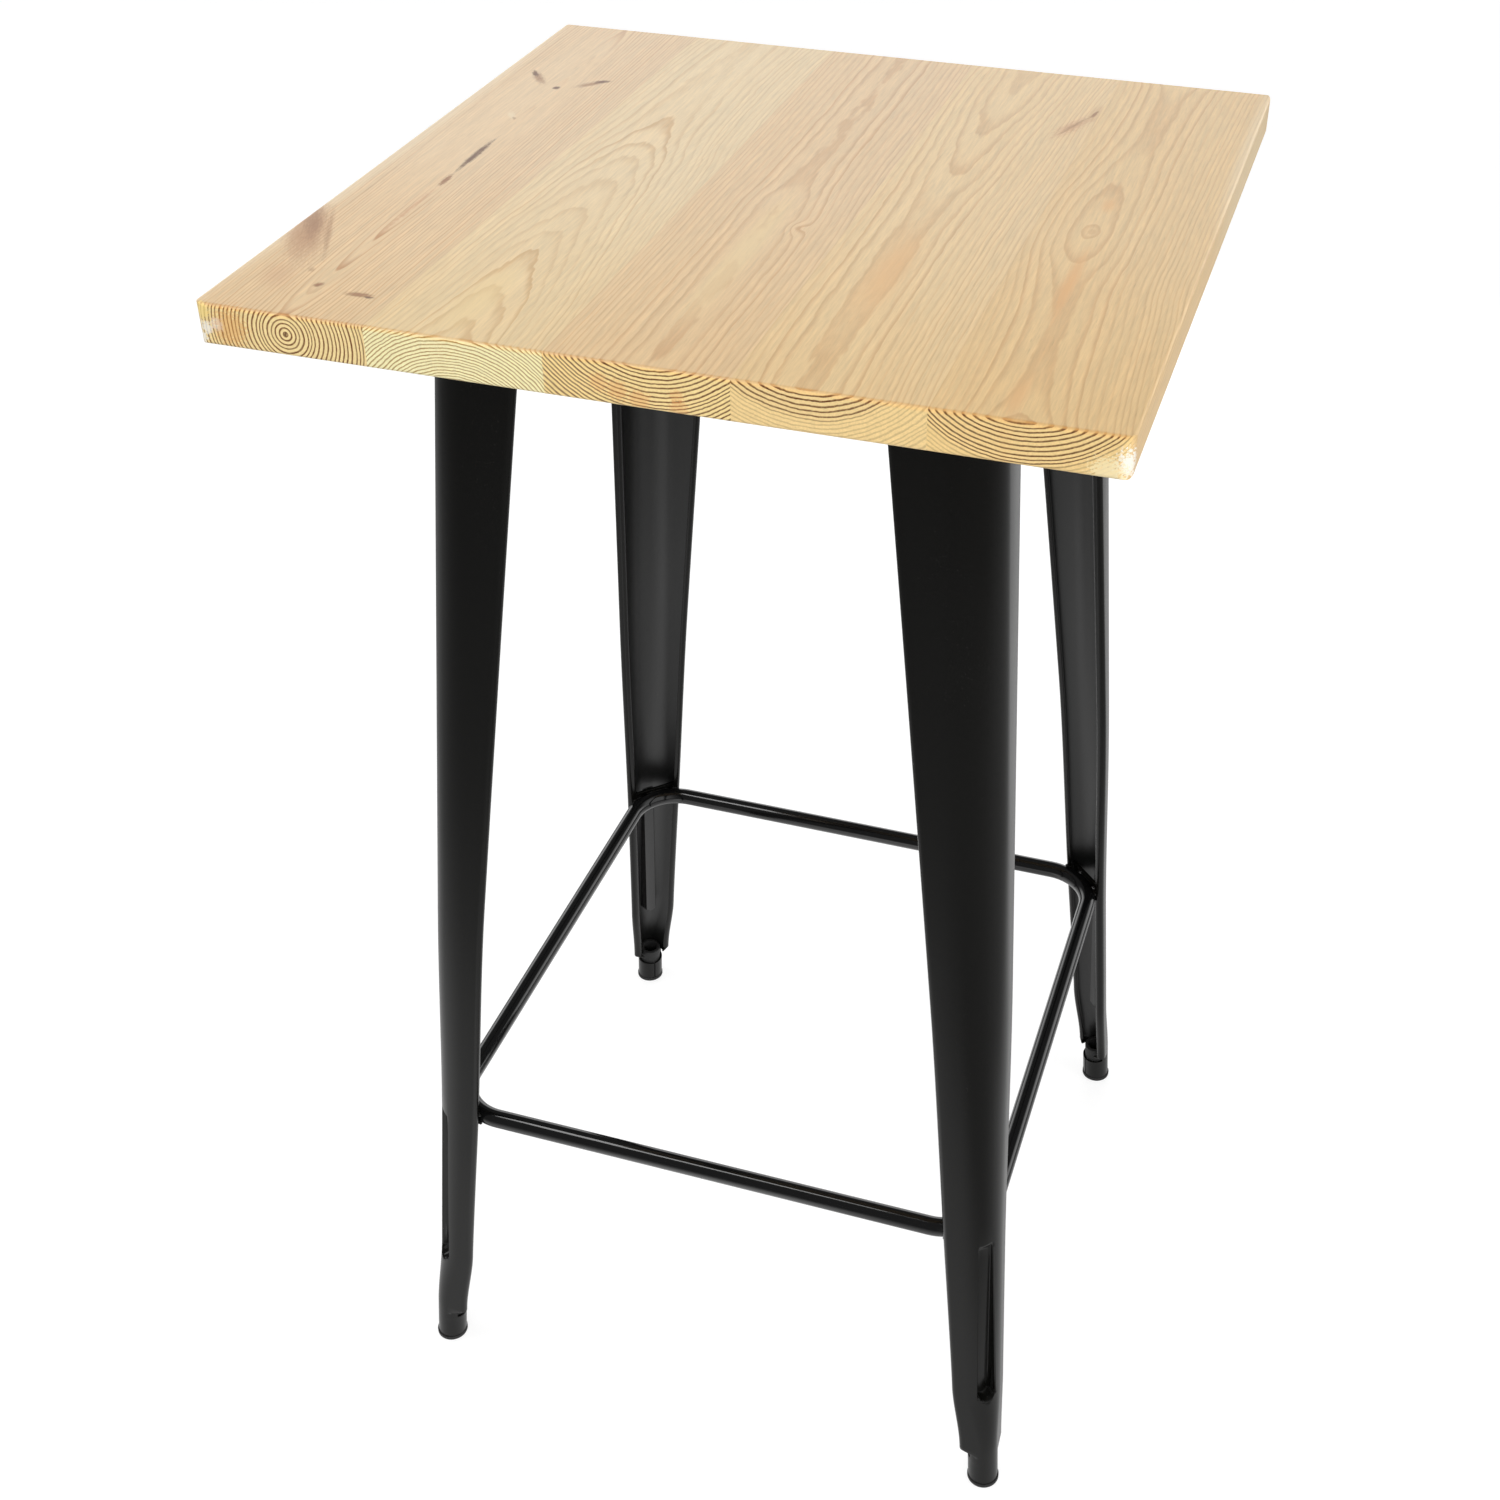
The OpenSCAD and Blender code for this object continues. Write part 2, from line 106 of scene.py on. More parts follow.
BRACKET_T = 3
BRACKET_H = 16
BRACKET_EDGE = 0.5
WELD_R = 1.5
WELD_PITCH = 0.6
WELD_RIPPLE = 0.13
WELD_UNEVEN = 0.06
WELD_STRAY = 0.15
WELD_SINK = 0.3
END_WELD_R = 1.3
BEND_WELD_HALF = 9
HEM_WELD_HALF = 4.5
SEAT_GAP = 0.2

RAIL_H = 45
RAIL_T = 2
RAIL_FLANGE = 32
RAIL_LIP = 10
RAIL_BEND_R = 3.2
BEND_STEPS = 6
PLATE_T = 3
PLATE_EASE = 0.35
PLATE_REACH = 45
RAIL_END_GAP = 2.5
NOTCH_CLEAR = 3

BOLT_R = 3
BOLT_HEAD_R = 5.25
BOLT_HEAD_H = 3.3
BOLT_CROWN_R = 2.6
BOLT_SOCKET_AF = 4
WASHER_R = 6
WASHER_T = 1.2
NUT_AF = 10
NUT_H = 5
BOLT_TAIL = 2
THREAD_CHAMFER = 0.6
SCREW_R = 2
SCREW_HEAD_R = 4
SCREW_HEAD_H = 2.4
SCREW_RIM_H = 0.6
SCREW_CROWN = 1.3
SCREW_BITE = 20
SCREW_POINT = 4
CROSS_R = 2
CROSS_LOW_R = 1.7
CROSS_DEEP = 0.9
SCREW_INSET = 7.5
PLATE_SCREW_INSET = 10
CORNER_SCREW_INSET = 8
FLANGE_SCREW_AT = 45

# Points round a turned piece, and the tiny ring that closes it on its axis.
ROUND = 48
AXIS_R = 0.01

FOOT_OUT = FOOT_SPAN / 2
FACE_TOP = LEG_TOP_SPAN / 2
LEAN = (FOOT_OUT + LEG_END_R - FACE_TOP) / UNDER_Z
BOW_Z = UNDER_Z / 2
BOW_LOW_Z = UNDER_Z / 4
TOP_LEAN = LEAN + LEG_BOW / (UNDER_Z - BOW_Z)
LEAN_ANGLE = math.atan(TOP_LEAN)
RAIL_LOW = UNDER_Z - RAIL_H
CORNER_MID = FACE_TOP - LEG_CORNER_R
RAIL_END = CORNER_MID - RAIL_END_GAP
RAIL_IN = FACE_TOP - LEG_T - RAIL_FLANGE
NOTCH_EDGE = FACE_TOP - LEG_TOP_FACE + 2 * HEM_R
NOTCH_LOW = RAIL_LOW - NOTCH_CLEAR
PLATE_EDGE = FACE_TOP - LEG_T - RAIL_T - SEAT_GAP
PLATE_IN = CORNER_MID - PLATE_REACH
BOLT_ALONG = (NOTCH_EDGE + CORNER_MID) / 2
BOLT_Z = UNDER_Z - RAIL_H / 2
BOLT_SEAT = LEG_T + RAIL_T + SEAT_GAP
SCREW_LINE = RAIL_IN + SCREW_INSET

# Where the eased upper edges of the top's ends begin, in metres.
ARRIS_Y = (TOP_HALF - 4.5) * MM
ARRIS_Z = (TABLE_H - 3.2) * MM


def lerp(a, b, u):
    return a + (b - a) * u


def clamp01(u):
    return max(0.0, min(1.0, u))


def ease(u):
    u = clamp01(u)
    return u * u * (3 - 2 * u)


# ---- Meshes ------------------------------------------------------------------

class Shape:
    """Points and faces of one piece, in millimetres, gathered before its mesh is made."""

    def __init__(self):
        self.points = []
        self.faces = []
        self.lining = set()

    def add_points(self, points):
        first = len(self.points)
        self.points.extend(tuple(p) for p in points)
        return first

    def add_rings(self, rings, capped=True):
        """Skin between closed rings with the same number of points."""
        starts = [self.add_points(ring) for ring in rings]
        count = len(rings[0])
        for a, b in zip(starts, starts[1:]):
            for i in range(count):
                k = (i + 1) % count
                self.faces.append((a + i, a + k, b + k, b + i))
        if capped:
            self.faces.append(tuple(range(starts[0] + count - 1, starts[0] - 1, -1)))
            self.faces.append(tuple(range(starts[-1], starts[-1] + count)))

    def add_sheet(self, outer, inner, spans):
        """Sheet metal between two grids of points. spans gives, for each row, the columns
        that the sheet has up to the next row."""
        rows, cols = len(outer), len(outer[0])
        front_at = self.add_points(p for row in outer for p in row)
        back_at = self.add_points(p for row in inner for p in row)

        def front(j, i):
            return front_at + j * cols + i

        def back(j, i):
            return back_at + j * cols + i

        for j, (low, high) in enumerate(spans):
            for i in range(low, high):
                self.faces.append((front(j, i), front(j, i + 1), front(j + 1, i + 1), front(j + 1, i)))
                self.lining.add(len(self.faces))
                self.faces.append((back(j, i), back(j + 1, i), back(j + 1, i + 1), back(j, i + 1)))
            self.faces.append((front(j, low), front(j + 1, low), back(j + 1, low), back(j, low)))
            self.faces.append((front(j, high), back(j, high), back(j + 1, high), front(j + 1, high)))
        for j in range(rows):
            below = set(range(*spans[j - 1])) if j > 0 else set()
            above = set(range(*spans[j])) if j < rows - 1 else set()
            for i in below ^ above:
                self.faces.append((front(j, i), back(j, i), back(j, i + 1), front(j, i + 1)))

    def turned(self, quarter):
        """The same shape, turned about the table's middle by quarters of a turn."""
        other = Shape()
        turn = Matrix.Rotation(quarter * math.pi / 2, 3, "Z")
        other.points = [tuple(turn @ Vector(p)) for p in self.points]
        other.faces = list(self.faces)
        other.lining = set(self.lining)
        return other


def make_piece(name, shape, material, nodes, sharp=40, lining=None):
    """Makes the shape's mesh, and lets it stand for its nodes of the steelwork. lining is
    the material of the inner side of its sheet."""
    mesh = bpy.data.meshes.new(name)
    work = bmesh.new()
    verts = [work.verts.new(Vector(p) * MM) for p in shape.points]
    for k, face in enumerate(shape.faces):
        corners = [verts[i] for i in face]
        if len(set(corners)) > 2:
            work.faces.new(corners).material_index = int(lining is not None and k in shape.lining)
    bmesh.ops.remove_doubles(work, verts=work.verts, dist=1e-6)
    bmesh.ops.dissolve_degenerate(work, edges=work.edges, dist=1e-7)
    bmesh.ops.delete(work, geom=[v for v in work.verts if not v.link_faces], context="VERTS")
    bmesh.ops.recalc_face_normals(work, faces=work.faces)
    work.to_mesh(mesh)
    work.free()
    mesh.shade_smooth()
    mesh.set_sharp_from_angle(angle=math.radians(sharp))
    mesh.materials.append(material)
    if lining is not None:
        mesh.materials.append(lining)
    piece = bpy.data.objects.new(name, mesh)
    bpy.context.scene.collection.objects.link(piece)
    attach(piece, "root")
    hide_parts(*nodes)
    return piece


# ---- Legs --------------------------------------------------------------------

def straight_face(z):
    return FACE_TOP + (UNDER_Z - z) * TOP_LEAN


def face(z):
    if z > BOW_Z:
        return straight_face(z)
    return FOOT_OUT + LEG_END_R - z * LEAN + LEG_BOW * ease((z - BOW_LOW_Z) / (BOW_Z - BOW_LOW_Z))


def flare_share(z):
    return ease((FLARE_Z - z) / (FLARE_Z - SOCKET_Z))


def end_share(z):
    return clamp01((SOCKET_Z - z) / END_DROP)


def face_width(z):
    if z < SOCKET_Z:
        return lerp(LEG_END_FACE, 2 * LEG_END_R + MIN_FLAT, end_share(z))
    if z < FLARE_Z:
        return lerp(LEG_LOW_FACE, LEG_END_FACE, flare_share(z))
    taper = clamp01((z - FLARE_Z) / (UNDER_Z - FLARE_Z)) ** LEG_TAPER_BOW
    return lerp(LEG_LOW_FACE, LEG_TOP_FACE, taper)


def hem_radius(z):
    return lerp(HEM_R, LEG_END_R, end_share(z))


def hem_sweep(z):
    half = lerp(HEM_TURN, HALF_WRAP, end_share(z))
    return lerp(half, FULL_WRAP, clamp01((WRAP_TOP - z) / WRAP_DROP))


def corner_radius(z):
    if z < FLARE_Z:
        return lerp(LEG_LOW_CORNER_R, LEG_END_R, flare_share(z))
    return lerp(LEG_LOW_CORNER_R, LEG_CORNER_R, clamp01((z - FLARE_Z) / (BOW_Z - FLARE_Z)))


def groove_slope_depth(z):
    top = GROOVE_HI - GROOVE_RAMP
    return lerp(GROOVE_DEEP, GROOVE_SHALLOW, (z - GROOVE_LO) / (top - GROOVE_LO))


def groove_mouth(z):
    return GROOVE_FLOOR_W / 2 + GROOVE_SIDE + GROOVE_BEVEL * groove_slope_depth(min(z, GROOVE_HI))


def groove_depth(z, side):
    """How far the corner is pressed in, side millimetres from its middle line."""
    floor = GROOVE_FLOOR_W / 2
    low = GROOVE_LO - GROOVE_LIP * max(0, 1 - GROOVE_LEDGE_CURVE * (side / floor) ** 2)
    across = ease((groove_mouth(z) - side) / (groove_mouth(z) - floor))
    up = ease((z - low) / GROOVE_LEDGE)
    down = ease((GROOVE_HI - z) / GROOVE_RAMP)
    return max(0, groove_slope_depth(z)) * across * up * down


HEM_STEPS = 12
CORNER_SHARES = ([(45, "mouth", k / 8) for k in range(8)]
                 + [("mouth", "floor", k / 6) for k in range(6)]
                 + [("floor", 0, k / 4) for k in range(5)])


def corner_offsets(z):
    """Angles from the middle of the leg's corner, gathered at the groove where there is one."""
    r = corner_radius(z)
    known = {45: 45, 0: 0,
             "mouth": math.degrees(math.asin(min(0.65, groove_mouth(z) / r))),
             "floor": math.degrees(math.asin(min(0.5, GROOVE_FLOOR_W / 2 / r)))}
    share = clamp01((z - GROOVE_LO + GROOVE_LIP + GROOVE_SETTLE) / GROOVE_SETTLE)
    last = len(CORNER_SHARES) - 1
    spread = [lerp(45 * (1 - i / last), lerp(known[a], known[b], u), share)
              for i, (a, b, u) in enumerate(CORNER_SHARES)]
    return spread + [-s for s in reversed(spread[:-1])]


def leg_line(z, inset):
    """One line round the back right leg at height z, set in from its outer surface."""
    f, r, hr, turn = face(z), corner_radius(z), hem_radius(z), hem_sweep(z)
    hem = f - face_width(z) + hr
    if z > NOTCH_LOW:
        hem = max(hem, NOTCH_EDGE)
    line = []
    for i in range(HEM_STEPS + 1):
        a = math.radians(90 + turn * (1 - i / HEM_STEPS))
        line.append((hem + (hr - inset) * math.cos(a), f - hr + (hr - inset) * math.sin(a), z))
    for offset in corner_offsets(z):
        a = math.radians(45 + offset)
        push = groove_depth(z, abs(r * math.sin(math.radians(offset)))) / math.sqrt(2)
        line.append((f - r + (r - inset) * math.cos(a) - push,
                     f - r + (r - inset) * math.sin(a) - push, z))
    for i in range(HEM_STEPS + 1):
        a = math.radians(-turn * i / HEM_STEPS)
        line.append((f - hr + (hr - inset) * math.cos(a), hem + (hr - inset) * math.sin(a), z))
    return line


def leg_heights():
    """Heights of the lines round a leg, from runs of (start, end, about how far apart)."""
    ledge_top = GROOVE_LO + 2 * GROOVE_LEDGE
    runs = [(FOOT_RIM_H, WRAP_TOP - WRAP_DROP, 5), (WRAP_TOP - WRAP_DROP, WRAP_TOP, 0.25),
            (WRAP_TOP, SOCKET_Z - END_DROP, 2.5), (SOCKET_Z - END_DROP, SOCKET_Z, 0.4),
            (SOCKET_Z, GROOVE_LO - GROOVE_LIP, 3), (GROOVE_LO - GROOVE_LIP, ledge_top, 0.4),
            (ledge_top, FLARE_Z, 2), (FLARE_Z, GROOVE_HI - GROOVE_RAMP, 8),
            (GROOVE_HI - GROOVE_RAMP, GROOVE_HI, 0.7), (GROOVE_HI, NOTCH_LOW, 22),
            (NOTCH_LOW, UNDER_Z, 12)]
    heights = []
    for low, high, step in runs:
        count = max(1, round((high - low) / step))
        heights += [lerp(low, high, k / count) for k in range(count)]
    return heights + [UNDER_Z]


def pressed_leg():
    heights = leg_heights()
    outer = [leg_line(z, 0) for z in heights]
    inner = [leg_line(z, LEG_T) for z in heights]
    last = len(outer[0]) - 1
    spans = [(HEM_STEPS, last - HEM_STEPS) if z >= NOTCH_LOW else (0, last)
             for z in heights[:-1]]
    leg = Shape()
    leg.add_sheet(outer, inner, spans)
    return leg


# ---- Feet --------------------------------------------------------------------

def round_edge(r, z, radius, start, end, count):
    """Points of a turned profile round an edge, whose middle is at r from the axis and at z."""
    return [(r + radius * math.cos(a), z + radius * math.sin(a))
            for a in np.linspace(start, end, count)]


def rubber_foot():
    """A rim with rounded edges and a hollow plug that leans with the leg."""
    quarter = math.pi / 2
    plug_r = LEG_END_R - LEG_T - FOOT_CLEAR
    plug_lean = math.atan(LEAN * math.sqrt(2))
    rim_at = face(FOOT_RIM_H) - LEG_END_R
    tread = [(AXIS_R, 0.0), (FOOT_RIM_R - 3.4, 0.0), (FOOT_RIM_R - 2.8, 0.5), (FOOT_RIM_R - 1.4, 0.35)]
    profile = tread + round_edge(FOOT_RIM_R - 0.9, 1.0, 0.9, 0.25 - quarter, 0, 5)
    profile += round_edge(FOOT_RIM_R - 0.5, FOOT_RIM_H - 0.5, 0.5, 0, quarter, 4)
    profile += [(plug_r + 0.3, FOOT_RIM_H), (plug_r, FOOT_RIM_H + 0.6)]
    profile += [(plug_r, z) for z in (14, 26, 38)]
    profile += round_edge(plug_r - 0.9, FOOT_H - 0.9, 0.9, 0, quarter, 5)
    profile += round_edge(FOOT_BORE_R + 0.6, FOOT_H - 0.6, 0.6, quarter, 2 * quarter, 4)
    profile += [(FOOT_BORE_R, 24), (FOOT_BORE_R, FOOT_BORE_FLOOR + 1),
                (FOOT_BORE_R - 1, FOOT_BORE_FLOOR), (AXIS_R, FOOT_BORE_FLOOR)]
    foot = Shape()
    rings = []
    for r, z in profile:
        share = ease((z - FOOT_RIM_H) / FOOT_BEND_H)
        plug_at = FOOT_OUT - z * math.tan(plug_lean) / math.sqrt(2)
        middle = Vector((rim_at, rim_at, z)).lerp(Vector((plug_at, plug_at, z)), share)
        tilt = Matrix.Rotation(math.pi / 4, 3, "Z") @ Matrix.Rotation(-plug_lean * share, 3, "Y")
        rings.append([middle + tilt @ Vector((r * math.cos(a), r * math.sin(a), 0))
                      for a in np.linspace(0, 2 * math.pi, 56, endpoint=False)])
    foot.add_rings(rings)
    return foot


# ---- Footrest ----------------------------------------------------------------

def hem_reach(z):
    """Distance from the table's middle line to the middles of a leg's hems, on the diagonal."""
    return (2 * face(z) - face_width(z)) / math.sqrt(2)


def footrest_sizes():
    """The tube's radius and height, and how far out and how long its straights are."""
    low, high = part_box("footrest_back")
    tube_r = (high.z - low.z) / 2 / MM
    return {"r": tube_r, "z": (low.z + high.z) / 2 / MM,
            "out": high.y / MM - tube_r, "straight": -low.x / MM}


def hoop(middle, side, up, r, count):
    """Points of a circle round middle, in the plane of side and up."""
    return [middle + (side * math.cos(a) + up * math.sin(a)) * r
            for a in np.linspace(0, 2 * math.pi, count, endpoint=False)]


def footrest_quarter(ring):
    """The straight tube along the back and the bend at its right end."""
    bend_r = ring["out"] - ring["straight"]
    centre = Vector((ring["straight"], ring["straight"], ring["z"]))
    path = [(Vector((x, ring["out"], ring["z"])), 0.0)
            for x in np.linspace(-ring["straight"], ring["straight"], 9)]
    path += [(centre + Vector((math.sin(a), math.cos(a), 0)) * bend_r, a)
             for a in np.linspace(0, math.pi / 2, 25)[1:]]
    tube = Shape()
    rings = []
    for middle, a in path:
        side = Vector((math.sin(a), math.cos(a), 0))
        rings.append(hoop(middle, side, Vector((0, 0, 1)), ring["r"], 40))
    tube.add_rings(rings)
    return tube


def weld_bead(shape, start, end, radius, seed):
    """A short rippled bead of weld along a line."""
    chance = random.Random(seed)
    start, end = Vector(start), Vector(end)
    along = (end - start).normalized()
    side = along.orthogonal().normalized()
    up = along.cross(side)
    steps = max(8, int((end - start).length / WELD_PITCH))
    rings = []
    for k in range(steps + 1):
        u = k / steps
        swell = math.sqrt(max(0.02, 1 - abs(2 * u - 1) ** 4))
        ripple = WELD_RIPPLE * math.sin(k * 2.1) + chance.uniform(-WELD_UNEVEN, WELD_UNEVEN)
        r = radius * swell * (1 + ripple)
        middle = start.lerp(end, u) + side * chance.uniform(-WELD_STRAY, WELD_STRAY)
        rings.append(hoop(middle, side, up, r, 12))
    shape.add_rings(rings)


def add_slab(shape, size, place):
    """A flat bar with eased edges: size is (x, y, z), place puts its middle."""
    edge = BRACKET_EDGE
    half = [s / 2 for s in size]
    outline = []
    for sx, sy in ((1, 1), (-1, 1), (-1, -1), (1, -1)):
        start = math.atan2(sy, sx) - math.pi / 4
        for a in np.linspace(start, start + math.pi / 2, 4):
            outline.append((sx * (half[0] - edge), sy * (half[1] - edge), math.cos(a), math.sin(a)))
    rings = []
    for a in np.linspace(-math.pi / 2, math.pi / 2, 7):
        out = edge * math.cos(a)
        z = math.copysign(half[2] - edge, a) + edge * math.sin(a) if a else 0.0
        rings.append([place @ Vector((x + cx * out, y + cy * out, z))
                      for x, y, cx, cy in outline])
    shape.add_rings(rings)


def footrest_bracket(ring):
    """Flat bar behind the footrest's bend, across the inside of a leg, with the welds that hold
    the bend to the bar and to the leg's hems, and the bar to the leg's faces."""
    low, high = ring["z"] - BRACKET_H / 2, ring["z"] + BRACKET_H / 2
    bend_r = ring["out"] - ring["straight"]
    bend_at = ring["straight"] * math.sqrt(2)
    tilt = math.atan((hem_reach(low) - hem_reach(high)) / BRACKET_H)
    seat = bend_at + bend_r + (ring["r"] + SEAT_GAP) / math.cos(tilt)
    back = seat + BRACKET_T / math.cos(tilt)
    half = min((face(z) - LEG_T - SEAT_GAP) * math.sqrt(2)
               - back - (ring["z"] - z) * math.tan(tilt) for z in (low, high))
    corner = Matrix.Rotation(math.pi / 4, 4, "Z")
    place = (corner @ Matrix.Translation((seat, 0, ring["z"])) @ Matrix.Rotation(-tilt, 4, "Y")
             @ Matrix.Translation((BRACKET_T / 2, 0, 0)))
    bar = Shape()
    add_slab(bar, (BRACKET_T, 2 * half, BRACKET_H), place)
    front = -BRACKET_T / 2
    hem_aside = (face_width(ring["z"]) - 2 * HEM_R) / math.sqrt(2)
    to_hem = math.atan2(hem_aside, hem_reach(ring["z"]) - bend_at)
    hem_weld_out = bend_r + ring["r"] * 0.92
    for k, up in enumerate((-1, 1)):
        x, z = front - WELD_SINK, up * ring["r"] * 0.55
        weld_bead(bar, place @ Vector((x, -BEND_WELD_HALF, z)),
                  place @ Vector((x, BEND_WELD_HALF, z)), WELD_R, 10 + k)
        for side in (-1, 1):
            a = side * to_hem
            touch = Vector((bend_at + hem_weld_out * math.cos(a), hem_weld_out * math.sin(a),
                            ring["z"] + up * ring["r"] * 0.6))
            along = Vector((-math.sin(a), math.cos(a), 0)) * HEM_WELD_HALF
            weld_bead(bar, corner @ (touch - along), corner @ (touch + along), WELD_R,
                      20 + 2 * k + side)
    for k, side in enumerate((-1, 1)):
        y, z = side * (half - 0.6), BRACKET_H / 2 - 1
        weld_bead(bar, place @ Vector((front, y, -z)), place @ Vector((front, y, z)),
                  END_WELD_R, 30 + k)
    return bar


# ---- Frame under the top -----------------------------------------------------

def rounded_path(points, radius):
    """A flat line through the points with its corners bent to a radius."""
    path = [Vector(points[0])]
    for before, corner, after in zip(points, points[1:], points[2:]):
        corner = Vector(corner)
        a = (Vector(before) - corner).normalized()
        b = (Vector(after) - corner).normalized()
        half = a.angle(b) / 2
        middle = corner + (a + b).normalized() * (radius / math.sin(half))
        start = corner + a * (radius / math.tan(half)) - middle
        end = corner + b * (radius / math.tan(half)) - middle
        for k in range(BEND_STEPS + 1):
            path.append(middle + start.slerp(end, k / BEND_STEPS))
    path.append(Vector(points[-1]))
    return path


def inset_path(path, depth):
    """The path moved to its right by depth."""
    moved = []
    for k, p in enumerate(path):
        ahead = path[min(k + 1, len(path) - 1)] - path[max(k - 1, 0)]
        right = Vector((ahead.y, -ahead.x)).normalized()
        moved.append(p + right * depth)
    return moved


def folded_rail():
    """Rail along the back: a leaning web, an upper flange and a lower lip, bent from one sheet."""
    web_top = straight_face(UNDER_Z) - LEG_T
    web_low = straight_face(RAIL_LOW) - LEG_T
    outer = rounded_path([(RAIL_IN, UNDER_Z), (web_top, UNDER_Z), (web_low, RAIL_LOW),
                          (web_low - RAIL_LIP, RAIL_LOW)], RAIL_BEND_R)
    inner = inset_path(outer, RAIL_T)
    bend = BEND_STEPS + 1
    web = (bend, len(outer) - 1 - bend)
    whole = (0, len(outer) - 1)
    stations = [(-RAIL_END, web), (-PLATE_IN, whole), (PLATE_IN, web), (RAIL_END, None)]
    rail = Shape()
    rail.add_sheet([[(x, p.x, p.y) for p in outer] for x, _ in stations],
                   [[(x, p.x, p.y) for p in inner] for x, _ in stations],
                   [span for _, span in stations[:-1]])
    return rail


def corner_plate():
    """Flat plate that joins two rails, with a rounded outer corner and eased edges."""
    round_r = PLATE_EDGE - CORNER_MID
    outline = [(PLATE_IN, RAIL_IN), (PLATE_IN, PLATE_EDGE)]
    outline += [(CORNER_MID + round_r * math.cos(a), CORNER_MID + round_r * math.sin(a))
                for a in np.linspace(math.pi / 2, 0, 17)]
    outline += [(PLATE_EDGE, PLATE_IN), (RAIL_IN, PLATE_IN)]
    middle = Vector((sum(p[0] for p in outline), sum(p[1] for p in outline))) / len(outline)
    low, high = UNDER_Z - PLATE_T, UNDER_Z
    rings = []
    for inset, z in ((PLATE_EASE, low), (0, low + PLATE_EASE), (0, high - PLATE_EASE),
                     (PLATE_EASE, high)):
        rings.append([(x - inset * np.sign(x - middle.x), y - inset * np.sign(y - middle.y), z)
                      for x, y in outline])
    plate = Shape()
    plate.add_rings(rings)
    return plate


# ---- Fasteners ---------------------------------------------------------------

def bolt_places():
    """Where each leg bolt sits, with +Z out of the leg's face."""
    places = []
    for quarter in range(4):
        for side in (-1, 1):
            places.append(Matrix.Rotation(quarter * math.pi / 2, 4, "Z")
                          @ Matrix.Translation((side * BOLT_ALONG, straight_face(BOLT_Z), BOLT_Z))
                          @ Matrix.Rotation(LEAN_ANGLE - math.pi / 2, 4, "X"))
    return places


def outline_ring(z, place, reach):
    """Points round an outline that lies reach(angle) from its middle."""
    return [place @ Vector((reach(a) * math.cos(a), reach(a) * math.sin(a), z))
            for a in np.linspace(0, 2 * math.pi, ROUND, endpoint=False)]


def circle(r, z, place):
    return outline_ring(z, place, lambda a: r)


def hexagon(af, z, place):
    def reach(a):
        return af / 2 / math.cos((a + math.pi / 6) % (math.pi / 3) - math.pi / 6)
    return outline_ring(z, place, reach)


def cross_recess(r, z, place):
    def reach(a):
        within = abs((a + math.pi / 4) % (math.pi / 2) - math.pi / 4)
        return r if within < 0.3 else r * (0.42 + 0.1 * math.cos(4 * a))
    return outline_ring(z, place, reach)


def leg_bolts(places):
    """Domed heads with a hexagon socket on plain shanks."""
    bolts = Shape()
    dome_r = (BOLT_HEAD_R ** 2 + BOLT_HEAD_H ** 2) / (2 * BOLT_HEAD_H)
    length = BOLT_SEAT + WASHER_T + NUT_H + BOLT_TAIL
    for place in places:
        place = place @ Matrix.Translation((0, 0, SEAT_GAP / 2))
        rings = [circle(AXIS_R, -length, place), circle(BOLT_R - THREAD_CHAMFER, -length, place),
                 circle(BOLT_R, -length + THREAD_CHAMFER, place), circle(BOLT_R, 0, place),
                 circle(BOLT_HEAD_R - 0.25, 0, place), circle(BOLT_HEAD_R - 0.02, 0.2, place)]
        for r in np.linspace(BOLT_HEAD_R - 0.15, BOLT_CROWN_R, 8):
            dome = math.sqrt(dome_r ** 2 - r * r) + BOLT_HEAD_H - dome_r
            crown = min(BOLT_HEAD_H, dome)
            rings.append(circle(r, crown, place))
        rings += [hexagon(BOLT_SOCKET_AF + 0.1, crown - 0.05, place),
                  hexagon(BOLT_SOCKET_AF, crown - 0.3, place),
                  hexagon(BOLT_SOCKET_AF, BOLT_HEAD_H / 2, place),
                  circle(AXIS_R, BOLT_HEAD_H / 2 - 0.5, place)]
        bolts.add_rings(rings)
    return bolts


def leg_washers(places):
    washers = Shape()
    for place in places:
        place = place @ Matrix.Translation((0, 0, -BOLT_SEAT - WASHER_T))
        hole = BOLT_R + 0.25
        profile = [(hole, 0.1), (BOLT_R + 0.4, 0), (WASHER_R - 0.2, 0), (WASHER_R, 0.2),
                   (WASHER_R, WASHER_T - 0.15), (WASHER_R - 0.15, WASHER_T),
                   (BOLT_R + 0.4, WASHER_T), (hole, WASHER_T - 0.1), (hole, 0.1)]
        washers.add_rings([circle(r, z, place) for r, z in profile], capped=False)
    return washers


def leg_nuts(places):
    nuts = Shape()
    for place in places:
        place = place @ Matrix.Translation((0, 0, -BOLT_SEAT - WASHER_T - NUT_H))
        bore, lead, flat = BOLT_R + 0.1, BOLT_R + 0.55, NUT_AF / 2 - 0.3
        rings = [circle(bore, 0.5, place), circle(lead, 0.05, place), circle(flat, 0.0, place),
                 hexagon(NUT_AF, 0.5, place), hexagon(NUT_AF, NUT_H - 0.5, place),
                 circle(flat, NUT_H, place), circle(lead, NUT_H - 0.05, place),
                 circle(bore, NUT_H - 0.5, place), circle(bore, 0.5, place)]
        nuts.add_rings(rings, capped=False)
    return nuts


